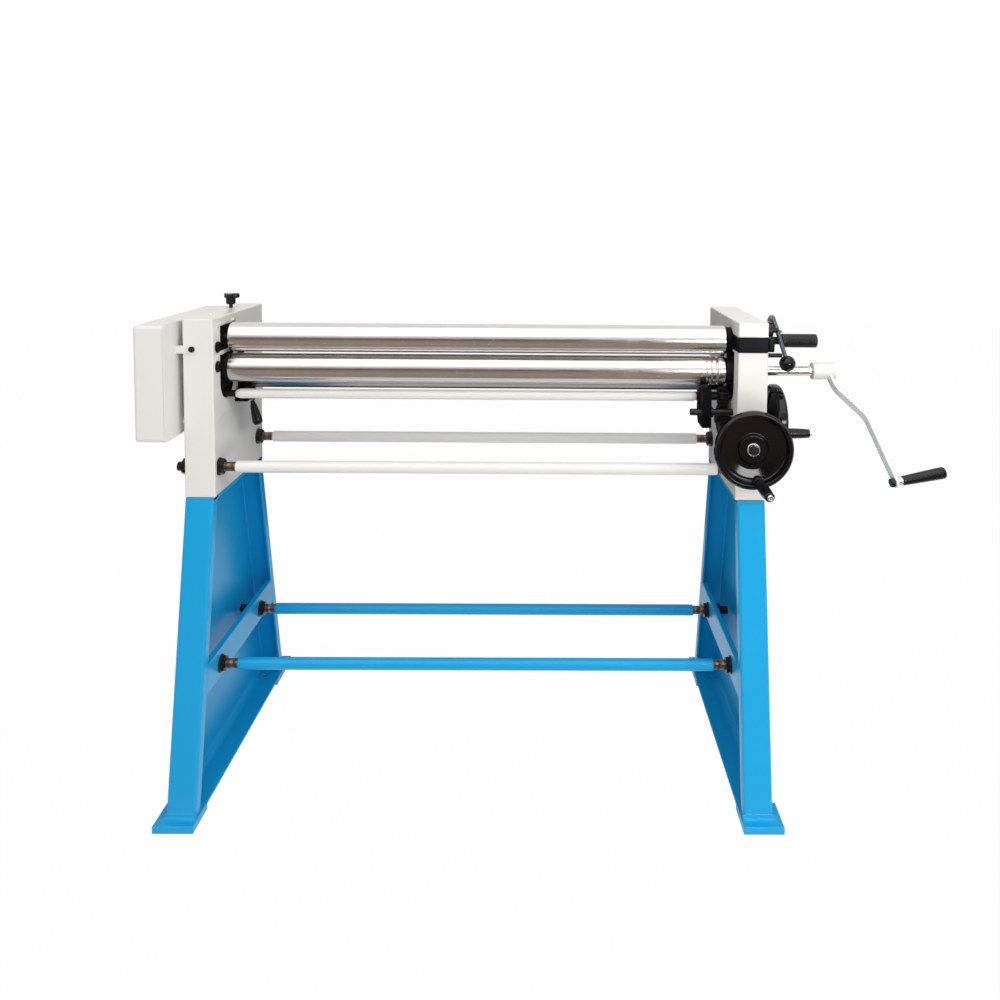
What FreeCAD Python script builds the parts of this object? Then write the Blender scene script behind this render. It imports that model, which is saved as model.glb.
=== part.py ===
"""Floor-standing hand slip roll: three steel rolls between two cast head frames on a steel stand.

The origin is on the floor, midway between the two head frames and at the middle of their depth.
+X runs to the crank end, -Y is the side where the operator feeds the sheet, +Z is up.
"""
import FreeCAD, Part, Sketcher
import math
import os
import re
from FreeCAD import Placement, Rotation, Vector

doc = FreeCAD.newDocument("SlipRoll")
sheet = doc.addObject("Spreadsheet::Sheet", "Dims")

# Driving dimensions, in millimetres, degrees or counts.
DRIVING = [
    ("half_span", 645, "middle of the machine to the inner face of a head frame"),
    ("frame_thick", 74, "head frame along X"),
    ("half_deep", 183, "half the depth of a head frame"),
    ("stand_top", 745, "floor to the underside of the head frames"),
    ("low_up", 311, "underside of the head frames to the lower roll axis"),
    ("roll_pitch", 78, "lower roll axis to the upper roll axis"),
    ("head_room", 56, "upper roll axis to the top of the head frames"),
    ("pocket_deep", 4, "shallow cast pocket in the inner face"),
    ("pocket_tall", 195, "height of that pocket"),
    ("pocket_edge", 12, "front face of a head frame to that pocket"),
    ("pocket_round", 55, "corner radius of that pocket"),
    ("roll_rad", 37, "all three rolls"),
    ("front_y", -93, "plane of the two front rolls, the sync shaft and the side wheel"),
    ("rear_y", 7, "rear roll, lift screws and rear cross shaft"),
    ("rear_drop", 34.4, "lower roll axis down to the rear roll axis at its lowest"),
    ("rear_lift", 60, "travel of the rear roll"),
    ("sync_drop", 68, "lower roll axis down to the sync shaft"),
    ("cross_drop", 87, "lower roll axis down to the rear cross shaft"),
    ("wheel_drop", 167, "lower roll axis down to the front wheel axis"),
    ("low_lift", 3.52, "travel of the lower roll either way"),
    ("throw", 4.5, "eccentric throw of the sync shaft"),
    ("cam_rad", 16, "eccentric radius"),
    ("journal", 16, "journal radius of the lower roll"),
    ("neck", 14, "journal radius of the upper roll"),
    ("shaft_rad", 10, "wheel shafts, cross shaft and sync shaft journal"),
    ("crank_rad", 12.5, "crank end of the lower roll"),
    ("fit", 0.05, "radial running clearance"),
    ("slide_gap", 0.1, "clearance of a slide on each side"),
    ("block_half", 44.5, "half the width of the lower roll's bearing recess"),
    ("slide_half", 25, "half the width of the rear roll's slide"),
    ("wall", 19, "outer wall left behind the bearing recess"),
    ("rod_rad", 15, "tie rod radius"),
    ("thread_rad", 12, "tie rod thread radius"),
    ("rod_y", 145, "upper tie rods either side of the middle"),
    ("low_rod_y", 150, "lower tie rods either side of the middle"),
    ("rod_up", 68, "underside of the head frames to the upper tie rods"),
    ("rod_low", 305, "floor to the tie rods between the stand legs"),
    ("shoulder_in", 39, "tie rods step down to their threads this far short of the head frames"),
    ("nut_across", 36, "tie rod nuts across their flats"),
    ("sheet_thick", 6, "plate of the stand legs"),
    ("lip_deep", 24, "returned edge of a leg flange"),
    ("cove_rad", 20, "inside bend from the web of a leg to its bottom lip"),
    ("bar_thick", 15, "flat bar inside a leg"),
    ("leg_proud", 1, "stand legs outside the head frames"),
    ("leg_set", 5, "edge of a leg flange behind the inner face of a head frame"),
    ("foot_thick", 19, "foot plate"),
    ("foot_front", 323, "front edge of the leg at the foot"),
    ("foot_rear", 357, "rear edge of the leg at the foot"),
    ("pad_proud", 21, "foot pads outside the legs"),
    ("anchor_y", 300, "floor bolt holes either side of the middle"),
    ("anchor_in", 45, "inner face of a head frame to the floor bolt holes"),
    ("bolt_in", 40, "inner face of a head frame to the bolts that hold it"),
    ("bolt_y", 110, "those bolts either side of the middle"),
    ("screw_in", 29, "inner face of a head frame to the lift screws"),
    ("wheel_rad", 96, "front hand wheel"),
    ("side_rad", 91, "side hand wheel"),
    ("wheel_thick", 25, "hand wheel rim"),
    ("crank_turn", 40, "crank arm forward of straight down"),
    ("drive_teeth", 16, "teeth of the roll drive gears"),
    ("sync_teeth", 14, "teeth of the sync shaft gear"),
    ("side_teeth", 20, "teeth of the side wheel gear"),
    ("gear_module", 3.5, "pitch of the sync gears, diameter per tooth"),
    ("bevel_teeth", 16, "teeth of the bevel gears"),
    ("bevel_rad", 15, "pitch radius of the bevel gears"),
    ("plate_gap", 14, "head frame to the gear back plate"),
    ("plate_thick", 3, "gear back plate"),
    ("cover_deep", 70, "gear back plate to the outer face of the gear cover"),
    ("cover_wall", 3.5, "sheet of the gear cover"),
    ("cover_drop", 154, "lower roll axis down to the underside of the gear cover"),
    ("cover_rise", 49, "upper roll axis to the top of the gear cover"),
    ("cover_front", -256, "front of the gear cover"),
    ("bracket_in", 79, "inner face of the right head frame to the far face of the sync bracket"),
    ("bracket_thick", 23, "sync bracket"),
]
# Places worked out from them.
DERIVED = [
    ("outer", "half_span + frame_thick", "outer face of a head frame"),
    ("recess", "outer - wall", "bottom of the bearing recess"),
    ("low_z", "stand_top + low_up", "lower roll axis"),
    ("up_z", "low_z + roll_pitch", "upper roll axis"),
    ("frame_top", "up_z + head_room", "top of the head frames"),
    ("rear_z", "low_z - rear_drop", "rear roll axis at its lowest"),
    ("rear_top", "rear_z + rear_lift", "rear roll axis at its highest"),
    ("sync_z", "low_z - sync_drop", "sync shaft axis"),
    ("side_z", "sync_z - gear_module * (sync_teeth + side_teeth) / 2", "side wheel axis"),
    ("cross_z", "low_z - cross_drop", "rear cross shaft axis"),
    ("front_z", "low_z - wheel_drop", "front wheel axis"),
    ("front_x", "half_span + screw_in", "lift screws and front wheel shaft"),
    ("rod_high", "stand_top + rod_up", "tie rods between the head frames"),
    ("shoulder", "half_span - shoulder_in", "where the tie rods step down"),
    ("leg_out", "outer + leg_proud", "outer face of a stand leg"),
    ("leg_in", "half_span + leg_set", "inner edge of a leg flange"),
    ("back_plate", "outer + plate_gap + plate_thick", "outer face of the gear back plate"),
    ("cover_out", "back_plate + cover_deep", "outer face of the gear cover"),
    ("cover_low", "low_z - cover_drop", "underside of the gear cover"),
    ("cover_high", "up_z + cover_rise", "top of the gear cover"),
]
for row, (alias, value, note) in enumerate(DRIVING + DERIVED, 1):
    sheet.set(f"A{row}", alias)
    sheet.set(f"B{row}", f"={value}")
    sheet.set(f"C{row}", note)
    sheet.setAlias(f"B{row}", alias)
doc.recompute()
VALUE = {alias: sheet.get(alias) for alias, value, note in DRIVING + DERIVED}
WORD = re.compile(r"[a-z_]+")
NODES = []

# Places (in two directions) of fittings that pass from one piece into another.
KNOB = ("-(half_span + 47)", "rear_y + 62")
OIL = ("-(half_span + 40)", "front_y + 3")
TAB = ("-(half_span + 50)", "up_z - 18")
PLUGS = [("front_y - 63", "up_z - 17", 14, 6), ("front_y - 63", "low_z + 12", 14, 6),
         ("front_y + 47", "up_z + 37", 6, 3), ("rear_y + 82", "up_z + 10", 6, 3)]
CAM = ("front_y - 60", "up_z + 35.6")
STOP = ("front_y - 45", "up_z - 31")
STUD = ("front_y - 39", "sync_z - 32")
STUD_RAD = 8.5
LOW = ("front_y", "low_z")
UP_AXIS = ("front_y", "up_z")
SYNC = ("front_y", "sync_z")
SIDE = ("front_y", "side_z")
REAR = ("rear_y", "rear_z")
FRONT = ("front_x", "front_z")


def link(text):
    """Turn the sheet's names in an expression into references to its cells."""
    return WORD.sub(lambda hit: "Dims." + hit.group() if hit.group() in VALUE else hit.group(), str(text))


def bind(thing, prop, text):
    thing.setExpression(prop, link(text))


def number(text):
    """The present value of an expression in the sheet's names."""
    return float(sheet.evalExpression(link(text)))


def both(sign, near, far):
    """The low and high ends along X of a stretch given by its distances from the middle."""
    return (near, far) if sign > 0 else (f"-({far})", f"-({near})")


def box(name, x, y, z):
    solid = doc.addObject("Part::Box", name)
    for prop, axis, (low, high) in (("Length", "x", x), ("Width", "y", y), ("Height", "z", z)):
        bind(solid, prop, f"({high}) - ({low})")
        bind(solid, f"Placement.Base.{axis}", low)
    return solid


TURN = {"x": Rotation(Vector(0, 1, 0), 90), "y": Rotation(Vector(1, 0, 0), -90), "z": Rotation()}
CROSS = {"x": "yz", "y": "xz", "z": "xy"}


def lay(solid, axis, start, centre):
    solid.Placement = Placement(Vector(), TURN[axis])
    bind(solid, f"Placement.Base.{axis}", start)
    for other, place in zip(CROSS[axis], centre):
        bind(solid, f"Placement.Base.{other}", place)
    return solid


def rod(name, axis, radius, span, centre):
    """A cylinder along an axis, over a (start, stop) span, with its two other coordinates."""
    solid = doc.addObject("Part::Cylinder", name)
    bind(solid, "Radius", radius)
    bind(solid, "Height", f"({span[1]}) - ({span[0]})")
    return lay(solid, axis, span[0], centre)


def taper(name, axis, radii, span, centre):
    solid = doc.addObject("Part::Cone", name)
    bind(solid, "Radius1", radii[0])
    bind(solid, "Radius2", radii[1])
    bind(solid, "Height", f"({span[1]}) - ({span[0]})")
    return lay(solid, axis, span[0], centre)


def ball(name, radius, x, y, z):
    solid = doc.addObject("Part::Sphere", name)
    bind(solid, "Radius", radius)
    for axis, place in zip("xyz", (x, y, z)):
        bind(solid, f"Placement.Base.{axis}", place)
    return solid


def join(name, pieces):
    if len(pieces) == 1:
        return pieces[0]
    whole = doc.addObject("Part::MultiFuse", name)
    whole.Shapes = pieces
    return whole


def held(name, pieces):
    """Pieces kept as they are, under a placement of their own."""
    whole = doc.addObject("Part::Compound", name)
    whole.Links = pieces
    return whole


def cut(name, base, tools):
    whole = doc.addObject("Part::Cut", name)
    whole.Base = base
    whole.Tool = join(name + "_tools", tools)
    return whole


def node(label, solid):
    """Name a finished sub-part and put it on the list of those to write."""
    solid.Label = label
    NODES.append(solid)
    return solid


def hex_nut(name, axis, across, span, centre, hole):
    """A hexagonal nut with a round hole."""
    blank = doc.addObject("Part::Prism", name + "_hex")
    blank.Polygon = 6
    bind(blank, "Circumradius", f"({across}) / sqrt(3)")
    bind(blank, "Height", f"({span[1]}) - ({span[0]})")
    lay(blank, axis, span[0], centre)
    if not hole:
        return blank
    return cut(name, blank, [rod(name + "_hole", axis, hole, span, centre)])


# ---- Bodies made from sketches -------------------------------------------------------------------

def plane_of(body, role):
    return next(item for item in body.Origin.OriginFeatures if item.Role == role)


def sketch_in(body, role, name):
    drawing = body.newObject("Sketcher::SketchObject", name)
    drawing.AttachmentSupport = (plane_of(body, role), [""])
    drawing.MapMode = "FlatFace"
    return drawing


def pin_point(drawing, element, end, across, along):
    """Hold a point of the sketch at bound distances from its origin."""
    for kind, text in (("DistanceX", across), ("DistanceY", along)):
        index = drawing.addConstraint(Sketcher.Constraint(kind, -1, 1, element, end, number(text)))
        bind(drawing, f"Constraints[{index}]", text)


def outline(drawing, points):
    """A closed run of straight lines through points given as pairs of expressions."""
    spots = [Vector(number(across), number(along), 0) for across, along in points]
    first = drawing.GeometryCount
    for index, spot in enumerate(spots):
        drawing.addGeometry(Part.LineSegment(spot, spots[(index + 1) % len(spots)]))
    for index in range(len(spots)):
        after = first + (index + 1) % len(spots)
        drawing.addConstraint(Sketcher.Constraint("Coincident", first + index, 2, after, 1))
    for index, (across, along) in enumerate(points):
        pin_point(drawing, first + index, 1, across, along)


def circle(drawing, radius):
    """A circle about the sketch's origin."""
    ring = drawing.addGeometry(Part.Circle(Vector(), Vector(0, 0, 1), number(radius)))
    drawing.addConstraint(Sketcher.Constraint("Coincident", ring, 3, -1, 1))
    index = drawing.addConstraint(Sketcher.Constraint("Radius", ring, number(radius)))
    bind(drawing, f"Constraints[{index}]", radius)


def extrude(name, role, points, length):
    """A body padded from an outline on one of its own origin planes."""
    body = doc.addObject("PartDesign::Body", name)
    drawing = sketch_in(body, role, name + "_outline")
    outline(drawing, points)
    pad = body.newObject("PartDesign::Pad", name + "_pad")
    pad.Profile = drawing
    bind(pad, "Length", length)
    return body


def spin(name, points):
    """A body turned from an outline of (radius, height) points about its own Z axis."""
    body = doc.addObject("PartDesign::Body", name)
    drawing = sketch_in(body, "XZ_Plane", name + "_outline")
    outline(drawing, points)
    turned = body.newObject("PartDesign::Revolution", name + "_turned")
    turned.Profile = drawing
    turned.ReferenceAxis = (drawing, ["V_Axis"])
    turned.Angle = 360
    return body


def gear(name, teeth, pitch, tip, root, bore, width, phase):
    """A spur gear about its own Z axis: a disc and one tooth, repeated round it."""
    body = doc.addObject("PartDesign::Body", name)
    blank = sketch_in(body, "XY_Plane", name + "_blank")
    circle(blank, root)
    circle(blank, bore)
    disc = body.newObject("PartDesign::Pad", name + "_disc")
    disc.Profile = blank
    bind(disc, "Length", width)
    tooth = sketch_in(body, "XY_Plane", name + "_tooth")
    half = f"({pitch}) * 180 / ({teeth}) * pi / 180"
    outline(tooth, [
        (f"({root}) - 1", f"-0.60 * {half}"), (tip, f"-0.24 * {half}"),
        (tip, f"0.24 * {half}"), (f"({root}) - 1", f"0.60 * {half}")])
    first = body.newObject("PartDesign::Pad", name + "_first")
    first.Profile = tooth
    bind(first, "Length", width)
    doc.recompute()
    ring = body.newObject("PartDesign::PolarPattern", name + "_ring")
    ring.Originals = [first]
    ring.Axis = (blank, ["N_Axis"])
    ring.Angle = 360
    bind(ring, "Occurrences", teeth)
    body.Tip = ring
    body.Placement = Placement(Vector(), Rotation(Vector(0, 0, 1), phase))
    return body


def stand_up(body, axis, start, centre, phase=0):
    """Lay a body that was made about Z along another axis."""
    body.Placement = Placement(Vector(), TURN[axis] * Rotation(Vector(0, 0, 1), phase))
    bind(body, f"Placement.Base.{axis}", start)
    for other, place in zip(CROSS[axis], centre):
        bind(body, f"Placement.Base.{other}", place)
    return body


# ---- Head frames ---------------------------------------------------------------------------------

def head_frame(sign, label):
    """A cast head frame with its recesses, slides and bores."""
    tag = label
    block = box(tag + "_block", both(sign, "half_span", "outer"), ("-half_deep", "half_deep"),
                ("stand_top", "frame_top"))
    inside = both(sign, "half_span", "half_span + pocket_deep")
    pocket_top = "(stand_top + pocket_tall)"
    pocket_front = "(pocket_edge - half_deep)"
    tools = [
        box(tag + "_pocket_tall", inside, (f"{pocket_front} + pocket_round", "half_deep"),
            ("stand_top", pocket_top)),
        box(tag + "_pocket_low", inside, (pocket_front, "half_deep"),
            ("stand_top", f"{pocket_top} - pocket_round")),
        rod(tag + "_pocket_round", "x", "pocket_round", inside,
            (f"{pocket_front} + pocket_round", f"{pocket_top} - pocket_round")),
    ]
    # Bearing recess of the lower roll, with room for the eccentric below its block.
    deep = both(sign, "half_span", "recess")
    recess_top = "low_z + 38" if sign < 0 else "low_z + 54"
    recess_low = "low_z - 34"
    tools += [
        box(tag + "_recess", deep, ("front_y - block_half", "front_y + block_half"),
            (recess_low, recess_top)),
        rod(tag + "_recess_round", "x", "block_half", deep, ("front_y", recess_low)),
        rod(tag + "_cam_room", "x", "cam_rad + throw + 1.5", both(sign, "half_span + 5", "recess"), SYNC),
        rod(tag + "_sync_bore", "x", "9 + fit", both(sign, "recess", "outer - 7"), SYNC),
    ]
    # The roll's journal leaves through an upright slot in the outer wall.
    through = both(sign, "recess", "outer")
    slot = "(journal + 1.5)" if sign < 0 else 14
    tools += [
        box(tag + "_journal_slot", through, (f"front_y - {slot}", f"front_y + {slot}"),
            ("low_z - low_lift", "low_z + low_lift")),
        rod(tag + "_journal_low", "x", slot, through, ("front_y", "low_z - low_lift")),
        rod(tag + "_journal_high", "x", slot, through, ("front_y", "low_z + low_lift")),
    ]
    # Rear roll slide above the chamber of the lift gears, and the bearings of screw and cross shaft.
    middle = "front_x" if sign > 0 else "-front_x"
    tools += [
        box(tag + "_rear_slot", both(sign, "half_span", "half_span + 59"),
            ("rear_y - slide_half", "rear_y + slide_half"), ("rear_z - 37.6", "rear_top + 38.4")),
        box(tag + "_chamber", both(sign, "half_span + 10", "outer"), ("rear_y - 30", "rear_y + 30"),
            ("front_z - 27", "cross_z + 35")),
        rod(tag + "_screw_foot", "z", "8 + fit", ("front_z - 41", "front_z - 27"), (middle, "rear_y")),
        rod(tag + "_screw_head", "z", "6 + fit", ("rear_top + 37.4", "rear_top + 50.4"), (middle, "rear_y")),
        rod(tag + "_cross_bore", "x", "shaft_rad + fit", both(sign, "half_span", "half_span + 10"),
            ("rear_y", "cross_z")),
    ]
    for end, place in (("front", "-rod_y"), ("rear", "rod_y")):
        tools.append(rod(f"{tag}_rod_{end}", "x", "thread_rad + 0.5", both(sign, "half_span", "outer"),
                         (place, "rod_high")))
    for end, place in (("front", "-bolt_y"), ("rear", "bolt_y")):
        tools.append(rod(f"{tag}_bolt_{end}", "z", 6, ("stand_top", "stand_top + 30"),
                         (f"{sign} * (half_span + bolt_in)", place)))
    if sign < 0:
        # Hub bearing and wide mouth of the upper roll, star knob, oil cup, and screw holes.
        tools += [
            box(tag + "_mouth", both(sign, "half_span", "half_span + 20"), ("front_y - 42", "front_y + 42"),
                ("up_z - 30", "up_z + 33")),
            rod(tag + "_hub_bore", "x", "25 + fit", both(sign, "half_span + 20", "outer"), UP_AXIS),
            rod(tag + "_knob_bore", "z", "5 + fit", ("frame_top - 40", "frame_top"), KNOB),
            rod(tag + "_oil_bore", "z", 2.5, ("frame_top - 12", "frame_top"), OIL),
            rod(tag + "_tab_bore", "y", 4, ("-half_deep", "-half_deep + 14"), TAB),
        ]
        for index, (place, height, head, shank) in enumerate(PLUGS):
            tools.append(rod(f"{tag}_plug_{index}", "x", shank, both(sign, "half_span", "half_span + 10"),
                             (place, height)))
    else:
        # Open slot for the swing block, cam spindle, stop pin, stud, and the two wheel shafts.
        tools += [
            box(tag + "_swing_slot", ("half_span", "outer"), ("-half_deep", "front_y + 36"),
                ("up_z - 18", "up_z + 20.6")),
            rod(tag + "_cam_bore", "x", "8 + fit", ("outer - 30", "outer"), CAM),
            rod(tag + "_stop_bore", "x", 5.5, ("outer - 15", "outer"), STOP),
            rod(tag + "_stud_bore", "x", STUD_RAD, ("half_span", "half_span + 10"), STUD),
            rod(tag + "_front_bore", "y", "shaft_rad + fit", ("-half_deep", "rear_y - 30"), FRONT),
            rod(tag + "_side_bore", "x", "shaft_rad + fit", ("half_span", "outer"), SIDE),
        ]
    return node(label, cut(tag + "_casting", block, tools))


head_frame(-1, "frame_left")
head_frame(1, "frame_right")


# ---- Stand ---------------------------------------------------------------------------------------

def leg_front(height, inset=0):
    drop = f"(stand_top - ({height})) / (stand_top - foot_thick)"
    return f"(-half_deep - (foot_front - half_deep) * {drop} + {inset})"


def leg_rear(height, inset=0):
    drop = f"(stand_top - ({height})) / (stand_top - foot_thick)"
    return f"(half_deep + (foot_rear - half_deep) * {drop} - {inset})"


def stand_leg(sign, label):
    """A channel leg of folded plate, open towards the middle, on a sole plate with wider pads.

    Its flat walls are solids of their own that meet face to face, as plates do before they are welded.
    """
    top, low = "stand_top", "foot_thick"
    under, sole = "(stand_top - 10)", "(foot_thick - sheet_thick)"
    skin = "sheet_thick * 1.03"
    lip = f"({skin} + lip_deep)"
    near, far = "leg_in", "leg_out - sheet_thick"
    edge = (near, f"{near} + sheet_thick")

    def slab(name, points, stretch):
        body = extrude(name, "YZ_Plane", points, f"({stretch[1]}) - ({stretch[0]})")
        bind(body, "Placement.Base.x", both(sign, *stretch)[0])
        return body

    def strip(name, side, depths, stretch, heights):
        """A slab that follows the slope of a flange, between two depths behind its outer face."""
        start, stop = depths
        foot, head = heights
        return slab(name, [(side(head, start), head), (side(head, stop), head),
                           (side(foot, stop), foot), (side(foot, start), foot)], stretch)

    parts = [
        slab(label + "_web", [(leg_front(top), top), (leg_rear(top), top), (leg_rear(low), low),
                              (leg_front(low), low)], (far, "leg_out")),
        strip(label + "_front", leg_front, (0, skin), (near, far), (low, under)),
        strip(label + "_rear", leg_rear, (0, skin), (near, far), (low, under)),
        strip(label + "_front_lip", leg_front, (skin, lip), edge, (low, f"{under} - 2")),
        strip(label + "_rear_lip", leg_rear, (skin, lip), edge, (low, f"{under} - 2")),
    ]
    # The frame stands on a plate that caps the flanges, set back a little from their faces.
    shelf = slab(label + "_shelf_plate", [(leg_front(top, 1), top), (leg_rear(top, 1), top),
                                          (leg_rear(under, 1), under), (leg_front(under, 1), under)],
                 (near, far))
    middle = f"{sign} * (half_span + bolt_in)"
    parts.append(cut(label + "_shelf", shelf, [
        rod(f"{label}_hold_{end}", "z", 6.5, (under, top), (middle, place))
        for end, place in (("front", "-bolt_y"), ("rear", "bolt_y"))]))
    # The web is welded to the sole plate, which runs between the pads, with a hollow bead inside.
    parts.append(box(label + "_sole", both(sign, "half_span", "leg_out"),
                     ("-foot_front + 60", "foot_rear - 77"), (sole, low)))
    bend = (f"{far} - cove_rad", far)
    run = ("2 * sheet_thick - foot_front", "foot_rear - 2 * sheet_thick")
    cove = box(label + "_cove_blank", both(sign, *bend), run, (low, f"{low} + cove_rad"))
    parts.append(cut(label + "_cove", cove, [
        rod(label + "_cove_round", "y", "cove_rad", run, (f"{sign} * ({bend[0]})", f"{low} + cove_rad"))]))
    wide = both(sign, "half_span", "leg_out + pad_proud")
    for end, stretch, place in (("front", ("-foot_front - 25", "-foot_front + 60"), "-anchor_y"),
                                ("rear", ("foot_rear - 77", "foot_rear + 62"), "anchor_y")):
        pad = box(f"{label}_pad_{end}_plate", wide, stretch, (0, low))
        hole = rod(f"{label}_anchor_{end}", "z", 7, (0, low), (f"{sign} * (half_span + anchor_in)", place))
        parts.append(cut(f"{label}_pad_{end}", pad, [hole]))
    return node(label, held(label + "_welded", parts))


stand_leg(-1, "stand_left")
stand_leg(1, "stand_right")


def cross_bar(sign, label):
    """A flat bar from flange to flange that carries the lower tie rods."""
    low, high = "(rod_low - 32)", "(rod_low + 40)"
    inset = "(sheet_thick * 1.03 + lip_deep)"
    span = both(sign, "leg_in", "leg_in + bar_thick")
    bar = extrude(label + "_bar", "YZ_Plane", [
        (leg_front(high, inset), high), (leg_rear(high, inset), high),
        (leg_rear(low, inset), low), (leg_front(low, inset), low)], "bar_thick")
    bind(bar, "Placement.Base.x", span[0])
    holes = [rod(f"{label}_hole_{end}", "x", "thread_rad + 0.5", span, (place, "rod_low"))
             for end, place in (("front", "-low_rod_y"), ("rear", "low_rod_y"))]
    return node(label, cut(label + "_drilled", bar, holes))


cross_bar(-1, "cross_bar_left")
cross_bar(1, "cross_bar_right")


# ---- Tie rods and their nuts ---------------------------------------------------------------------

def tie_rod(label, place, height, tip):
    parts = [
        rod(label + "_middle", "x", "rod_rad", ("-shoulder", "shoulder"), (place, height)),
        rod(label + "_thread", "x", "thread_rad", (f"-({tip})", tip), (place, height)),
    ]
    return node(label, join(label + "_rod", parts))


tie_rod("tie_rod_head_front", "-rod_y", "rod_high", "outer + 32")
tie_rod("tie_rod_head_rear", "rod_y", "rod_high", "outer + 32")
tie_rod("tie_rod_stand_front", "-low_rod_y", "rod_low", "leg_in + 56")
tie_rod("tie_rod_stand_rear", "low_rod_y", "rod_low", "leg_in + 56")


def tie_nuts(label, spread, height, face, back):
    """Washers and nuts on both sides of what the rods clamp."""
    pieces = []
    for sign in (-1, 1):
        for end, place in (("front", f"-{spread}"), ("rear", spread)):
            tag = f"{label}_{'right' if sign > 0 else 'left'}_{end}"
            centre = (place, height)
            washer = both(sign, f"{face} - 4", face)
            inner = both(sign, f"{face} - 14", f"{face} - 4")
            outer_nut = both(sign, back, f"{back} + 19")
            disc = rod(tag + "_disc", "x", 22, washer, centre)
            hole = rod(tag + "_hole", "x", "thread_rad", washer, centre)
            pieces.append(cut(tag + "_washer", disc, [hole]))
            pieces.append(hex_nut(tag + "_inner", "x", "nut_across", inner, centre, "thread_rad"))
            pieces.append(hex_nut(tag + "_outer", "x", "nut_across", outer_nut, centre, "thread_rad"))
    return node(label, join(label + "_set", pieces))


tie_nuts("tie_nuts_head", "rod_y", "rod_high", "(half_span + pocket_deep)", "outer")
tie_nuts("tie_nuts_stand", "low_rod_y", "rod_low", "leg_in", "(leg_in + bar_thick)")

frame_bolts = []
for sign in (-1, 1):
    for end, place in (("front", "-bolt_y"), ("rear", "bolt_y")):
        tag = f"frame_bolt_{'right' if sign > 0 else 'left'}_{end}"
        centre = (f"{sign} * (half_span + bolt_in)", place)
        frame_bolts.append(rod(tag + "_shank", "z", 6, ("stand_top - 10", "stand_top + 26"), centre))
        head = ("stand_top - 18", "stand_top - 10")
        frame_bolts.append(hex_nut(tag + "_head", "z", 19, head, centre, None))
node("frame_bolts", join("frame_bolt_set", frame_bolts))


# ---- Gear cover on the left head frame -----------------------------------------------------------
# The back plate stands off the frame; the cover is a deep lid with rounded corners.
PLATE = ("-back_plate", "-back_plate + plate_thick")
plate = box("back_plate_sheet", PLATE, ("cover_front", "half_deep"),
            ("cover_low", "cover_high"))
plate_parts = [plate]
standoffs = [("front_y - 57", "cover_low + 28"), ("half_deep - 33", "cover_low + 28"),
             ("front_y + 53", "cover_high - 18"), ("half_deep - 33", "cover_high - 18")]
for index, spot in enumerate(standoffs):
    plate_parts.append(rod(f"standoff_{index}", "x", 7, (PLATE[1], "-outer"), spot))
plate_parts.append(box("cover_tab", (PLATE[1], "-(half_span + 41)"), ("-half_deep - 3", "-half_deep"),
                       ("up_z - 29", "up_z - 9")))
plate_holes = [
    rod("plate_low_hole", "x", "journal + 6", PLATE, LOW),
    rod("plate_hub_hole", "x", 27, PLATE, UP_AXIS),
    rod("tab_hole", "y", 4, ("-half_deep - 3", "-half_deep"), TAB),
]
node("gear_back_plate", cut("back_plate_cut", join("back_plate_whole", plate_parts), plate_holes))

lid = doc.addObject("PartDesign::Body", "cover_lid")
lid_sketch = sketch_in(lid, "XY_Plane", "cover_lid_outline")
outline(lid_sketch, [("-cover_out", "cover_front"), ("-back_plate", "cover_front"),
                     ("-back_plate", "half_deep"), ("-cover_out", "half_deep")])
lid_pad = lid.newObject("PartDesign::Pad", "cover_lid_pad")
lid_pad.Profile = lid_sketch
bind(lid_pad, "Length", "cover_high - cover_low")
doc.recompute()
rounded = [f"Edge{index}" for index, edge in enumerate(lid_pad.Shape.Edges, 1)
           if abs(edge.CenterOfMass.x + VALUE["cover_out"]) < 0.01]
lid_round = lid.newObject("PartDesign::Fillet", "cover_lid_round")
lid_round.Base = (lid_pad, rounded)
lid_round.Radius = 8
bind(lid, "Placement.Base.z", "cover_low")
hollow = box("cover_hollow", ("-cover_out + cover_wall", "-back_plate"),
             ("cover_front + cover_wall", "half_deep - cover_wall"),
             ("cover_low + cover_wall", "cover_high - cover_wall"))
stud_spots = [("cover_front + 56", "cover_low + 98"), ("half_deep - 43", "cover_low + 98")]
stud_holes = [rod(f"cover_stud_hole_{index}", "x", 5, ("-cover_out", "-cover_out + cover_wall"), spot)
              for index, spot in enumerate(stud_spots)]
node("gear_cover", cut("gear_cover_shell", lid, [hollow] + stud_holes))

screws = []
for index, spot in enumerate(stud_spots):
    screws.append(rod(f"cover_stud_{index}", "x", 5, ("-cover_out", "-back_plate"), spot))
    screws.append(hex_nut(f"cover_nut_{index}", "x", 18, ("-cover_out - 7", "-cover_out"), spot, None))
screws.append(rod("tab_screw_head", "y", 7, ("-half_deep - 9", "-half_deep - 3"), TAB))
screws.append(rod("tab_screw_shank", "y", 4, ("-half_deep - 3", "-half_deep + 12"), TAB))
node("cover_screws", join("cover_screw_set", screws))


# ---- Small fittings of the head frames -----------------------------------------------------------
oil = [rod("oil_cup_stem", "z", 2.5, ("frame_top - 10", "frame_top"), OIL),
       rod("oil_cup_cap", "z", 4.5, ("frame_top", "frame_top + 3"), OIL)]
node("oil_cup", join("oil_cup_whole", oil))

plugs = []
for index, (place, height, head, shank) in enumerate(PLUGS):
    plugs.append(rod(f"plug_head_{index}", "x", head, ("-half_span", "-half_span + 5"), (place, height)))
    plugs.append(rod(f"plug_shank_{index}", "x", shank, ("-half_span - 9", "-half_span"), (place, height)))
node("side_plugs", join("side_plug_set", plugs))

node("stop_pin", rod("stop_pin_rod", "x", 5.5, ("outer - 15", "outer + 46"), STOP))

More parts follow.
